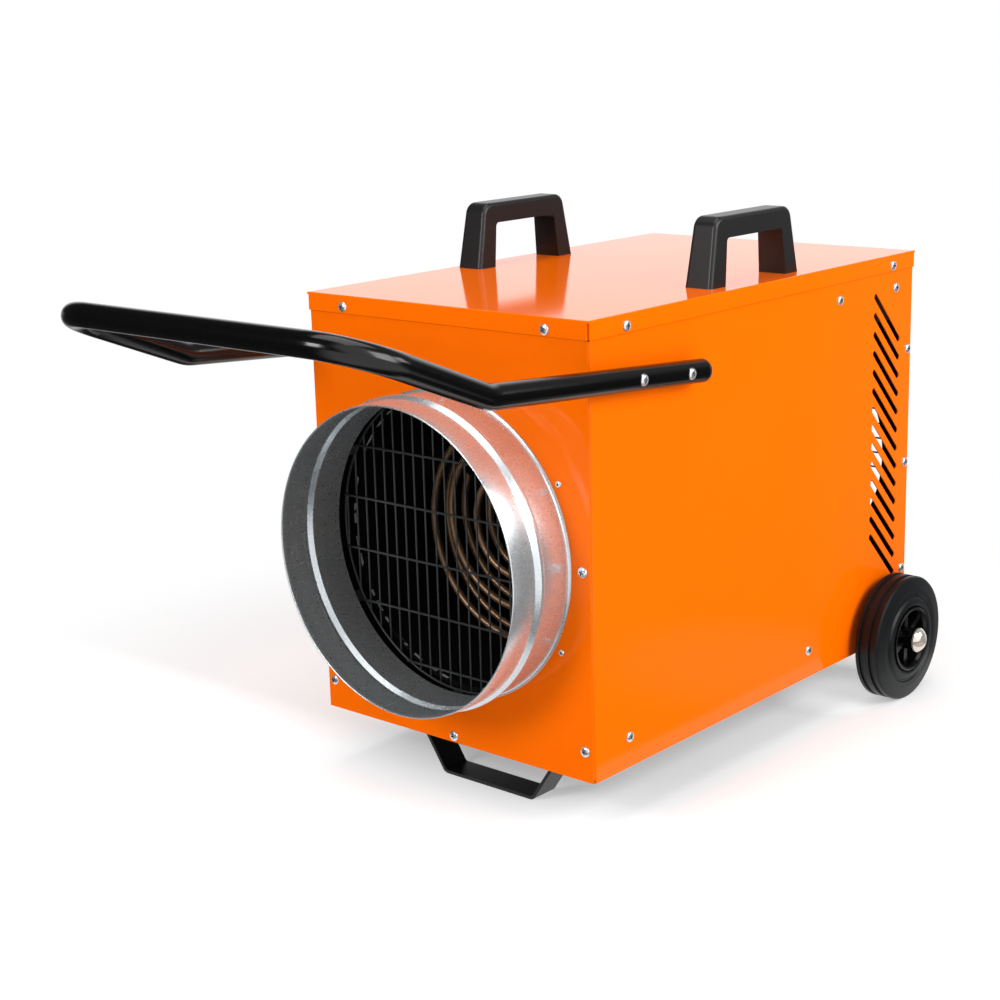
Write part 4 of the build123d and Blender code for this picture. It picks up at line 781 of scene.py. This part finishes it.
# %% The wire tree
def wire_tree():
    """Two crossed layers of wire in a rim, with tabs."""
    inputs = {"Rim radius": "Float", "Rim wire": "Float", "Wire": "Float", "Upright pitch": "Float",
              "Uprights": "Int", "Cross wire": "Float", "Cross pitch": "Float", "Crosses": "Int",
              "Layer gap": "Float", "Tabs": "Int", "First tab": "Float", "Tab reach": "Float",
              "Tab level": "Float", "Centre": "Vector"}
    tree, given = open_tree("welded wire", inputs)
    whole = add(tree, "GeometryNodeJoinGeometry")
    tree.links.new(layer(tree, given, 0, "Wire", "Upright pitch", "Uprights"), whole.inputs[0])
    crosses = layer(tree, given, 1, "Cross wire", "Cross pitch", "Crosses")
    lift = add(tree, "ShaderNodeCombineXYZ", {2: given["Layer gap"]}).outputs[0]
    crosses = add(tree, "GeometryNodeTransform", {"Geometry": crosses, "Translation": lift}).outputs[0]
    tree.links.new(crosses, whole.inputs[0])
    hoop = add(tree, "GeometryNodeCurvePrimitiveCircle", {"Resolution": 120, "Radius": given["Rim radius"]})
    thick = add(tree, "GeometryNodeCurvePrimitiveCircle", {"Resolution": 12, "Radius": given["Rim wire"]})
    rim = add(tree, "GeometryNodeCurveToMesh", {"Curve": hoop.outputs[0], "Profile Curve": thick.outputs[0]})
    tree.links.new(rim.outputs[0], whole.inputs[0])
    tree.links.new(tab_ring(tree, given), whole.inputs[0])
    stood = add(tree, "GeometryNodeTransform", {
        "Geometry": whole.outputs[0], "Translation": given["Centre"], "Rotation": (pi / 2, 0, 0)}).outputs[0]
    close_tree(tree, stood, given["Finish"])
    return tree


def tab_ring(tree, given):
    """Flat tabs round the rim: a foot at the tab level, and a web from it to the wires."""
    wide, thin = 14 * MM, 1.6 * MM
    long_way = add(tree, "ShaderNodeMath", {0: given["Tab reach"], 1: given["Rim radius"]}, operation="SUBTRACT")
    middle = add(tree, "ShaderNodeMath", {0: given["Tab reach"], 1: given["Rim radius"]}, operation="ADD").outputs[0]
    middle = add(tree, "ShaderNodeMath", {0: middle, 1: 0.5}, operation="MULTIPLY").outputs[0]
    size = add(tree, "ShaderNodeCombineXYZ", {0: long_way.outputs[0], 1: wide, 2: thin}).outputs[0]
    foot = add(tree, "GeometryNodeMeshCube", {0: size}).outputs[0]
    spot = add(tree, "ShaderNodeCombineXYZ", {0: middle, 2: given["Tab level"]}).outputs[0]
    foot = add(tree, "GeometryNodeTransform", {"Geometry": foot, "Translation": spot}).outputs[0]
    size = add(tree, "ShaderNodeCombineXYZ", {0: thin, 1: wide, 2: given["Tab level"]}).outputs[0]
    web = add(tree, "GeometryNodeMeshCube", {0: size}).outputs[0]
    half = add(tree, "ShaderNodeMath", {0: given["Tab level"], 1: 0.5}, operation="MULTIPLY").outputs[0]
    spot = add(tree, "ShaderNodeCombineXYZ", {0: given["Rim radius"], 2: half}).outputs[0]
    web = add(tree, "GeometryNodeTransform", {"Geometry": web, "Translation": spot}).outputs[0]
    tab = add(tree, "GeometryNodeJoinGeometry", {0: foot})
    tree.links.new(web, tab.inputs[0])
    points = add(tree, "GeometryNodePoints", {"Count": given["Tabs"]}).outputs[0]
    step = add(tree, "ShaderNodeMath", {0: 2 * pi, 1: given["Tabs"]}, operation="DIVIDE").outputs[0]
    number = add(tree, "GeometryNodeInputIndex").outputs[0]
    turn = add(tree, "ShaderNodeMath", {0: number, 1: step, 2: given["First tab"]}, operation="MULTIPLY_ADD")
    turn = add(tree, "ShaderNodeCombineXYZ", {2: turn.outputs[0]}).outputs[0]
    return add(tree, "GeometryNodeInstanceOnPoints", {
        "Points": points, "Instance": tab.outputs[0], "Rotation": turn}).outputs[0]


welded = wire_tree()
print(welded.name, "is", len(welded.nodes), "nodes")

# %% Make the grille and the guard
run_tree("outlet_wires", welded, bpy.data.meshes.new("start"), {
    "Rim radius": 179.6 * MM, "Rim wire": 1.5 * MM, "Wire": 1.2 * MM, "Upright pitch": 15.9 * MM, "Uprights": 23,
    "Cross wire": 1.45 * MM, "Cross pitch": 63.6 * MM, "Crosses": 6, "Layer gap": 2.4 * MM, "Tabs": 6,
    "First tab": pi / 6, "Tab reach": 195 * MM, "Tab level": 12.2 * MM, "Centre": at(0, 16.8, AIR_AXIS)},
    wire_paint, "outlet_grille")
run_tree("inlet_wires", welded, bpy.data.meshes.new("start"), {
    "Rim radius": 178.6 * MM, "Rim wire": 2.4 * MM, "Wire": 1.2 * MM, "Upright pitch": 50 * MM, "Uprights": 7,
    "Cross wire": 1.2 * MM, "Cross pitch": 20 * MM, "Crosses": 17, "Layer gap": -1.6 * MM, "Tabs": 4,
    "First tab": pi / 4, "Tab reach": 193 * MM, "Tab level": 3.2 * MM, "Centre": at(0, 681.9, AIR_AXIS)},
    wire_paint, "inlet_guard")

# %% [markdown]
# ## Heating coils
# Each coil is one sheathed tube: straight down, through a tight bend onto a front loop, round it, over a hairpin
# to a back loop, round that the other way and up again. The route is worked out from the loop's radius and the
# lead's place, as straight runs and arcs. A tree turns it into a curve and sweeps a round profile along it, with
# closed ends. That keeps the tube's thickness even, which a chain of stretched cylinders wouldn't.

# %% The coil's route
# Radius of the loop, place of the lead and drop of the centre below the air axis, all in mm.
COILS = {"outer": (136, 32, 11), "middle": (107, 10, 1), "inner": (66, -12, 3)}
FRONT_LOOP, BACK_LOOP, BEND, END_OFFSET, LEAD_TOP = 126.0, 150.0, 13.0, 36.0, 206.0
BEND_STEPS, LOOP_STEPS, HAIRPIN_STEPS = 8, 84, 12


def flat_route(loop, lead, top):
    """One half of a coil seen from the front, from its upper end to the hairpin, as (x, z) from its centre."""
    bend_x = lead + BEND
    bend_z = sqrt((loop + BEND) ** 2 - bend_x ** 2)
    start = asin(bend_x / (loop + BEND))
    stop = 2 * pi - asin(END_OFFSET / loop)
    route = [(lead, top), (lead, (top + bend_z) / 2)]
    for i in range(BEND_STEPS + 1):
        turn = pi + (pi / 2 - start) * i / BEND_STEPS
        route.append((bend_x + BEND * cos(turn), bend_z + BEND * sin(turn)))
    for i in range(1, LOOP_STEPS + 1):
        angle = start + (stop - start) * i / LOOP_STEPS
        route.append((loop * sin(angle), loop * cos(angle)))
    return route, stop


def coil_route(loop, lead, drop):
    """The whole coil as a chain of points in metres; its centre hangs below the air axis by the drop."""
    half, stop = flat_route(loop, lead, LEAD_TOP + drop)
    end_x, end_z = half[-1]
    middle, reach = (FRONT_LOOP + BACK_LOOP) / 2, (BACK_LOOP - FRONT_LOOP) / 2
    chain = [(x, FRONT_LOOP, z) for x, z in half]
    for i in range(1, HAIRPIN_STEPS):
        turn = pi * i / HAIRPIN_STEPS
        out = reach * sin(turn)
        chain.append((end_x + out * cos(stop), middle - reach * cos(turn), end_z - out * sin(stop)))
    chain += [(x, BACK_LOOP, z) for x, z in reversed(half)]
    points = [at(x, y, z + AIR_AXIS - drop) for x, y, z in chain]
    mesh = bpy.data.meshes.new("route")
    mesh.from_pydata(points, [(i, i + 1) for i in range(len(points) - 1)], [])
    return mesh


print("coils to wind:", ", ".join(COILS))

# %% Sweep the coils
TUBE_RADIUS = 4.25 * MM
tree, given = open_tree("tube along a route", {"Tube radius": "Float"})
route = add(tree, "GeometryNodeMeshToCurve", {0: given["Start"]}).outputs[0]
profile = add(tree, "GeometryNodeCurvePrimitiveCircle", {"Resolution": 14, "Radius": given["Tube radius"]})
swept = add(tree, "GeometryNodeCurveToMesh", {
    "Curve": route, "Profile Curve": profile.outputs[0], "Fill Caps": True}).outputs[0]
close_tree(tree, swept, given["Finish"])
for name, (loop, lead, drop) in COILS.items():
    run_tree(f"coil_{name}", tree, coil_route(loop, lead, drop), {"Tube radius": TUBE_RADIUS}, sheath,
             f"heating_element_{name}")
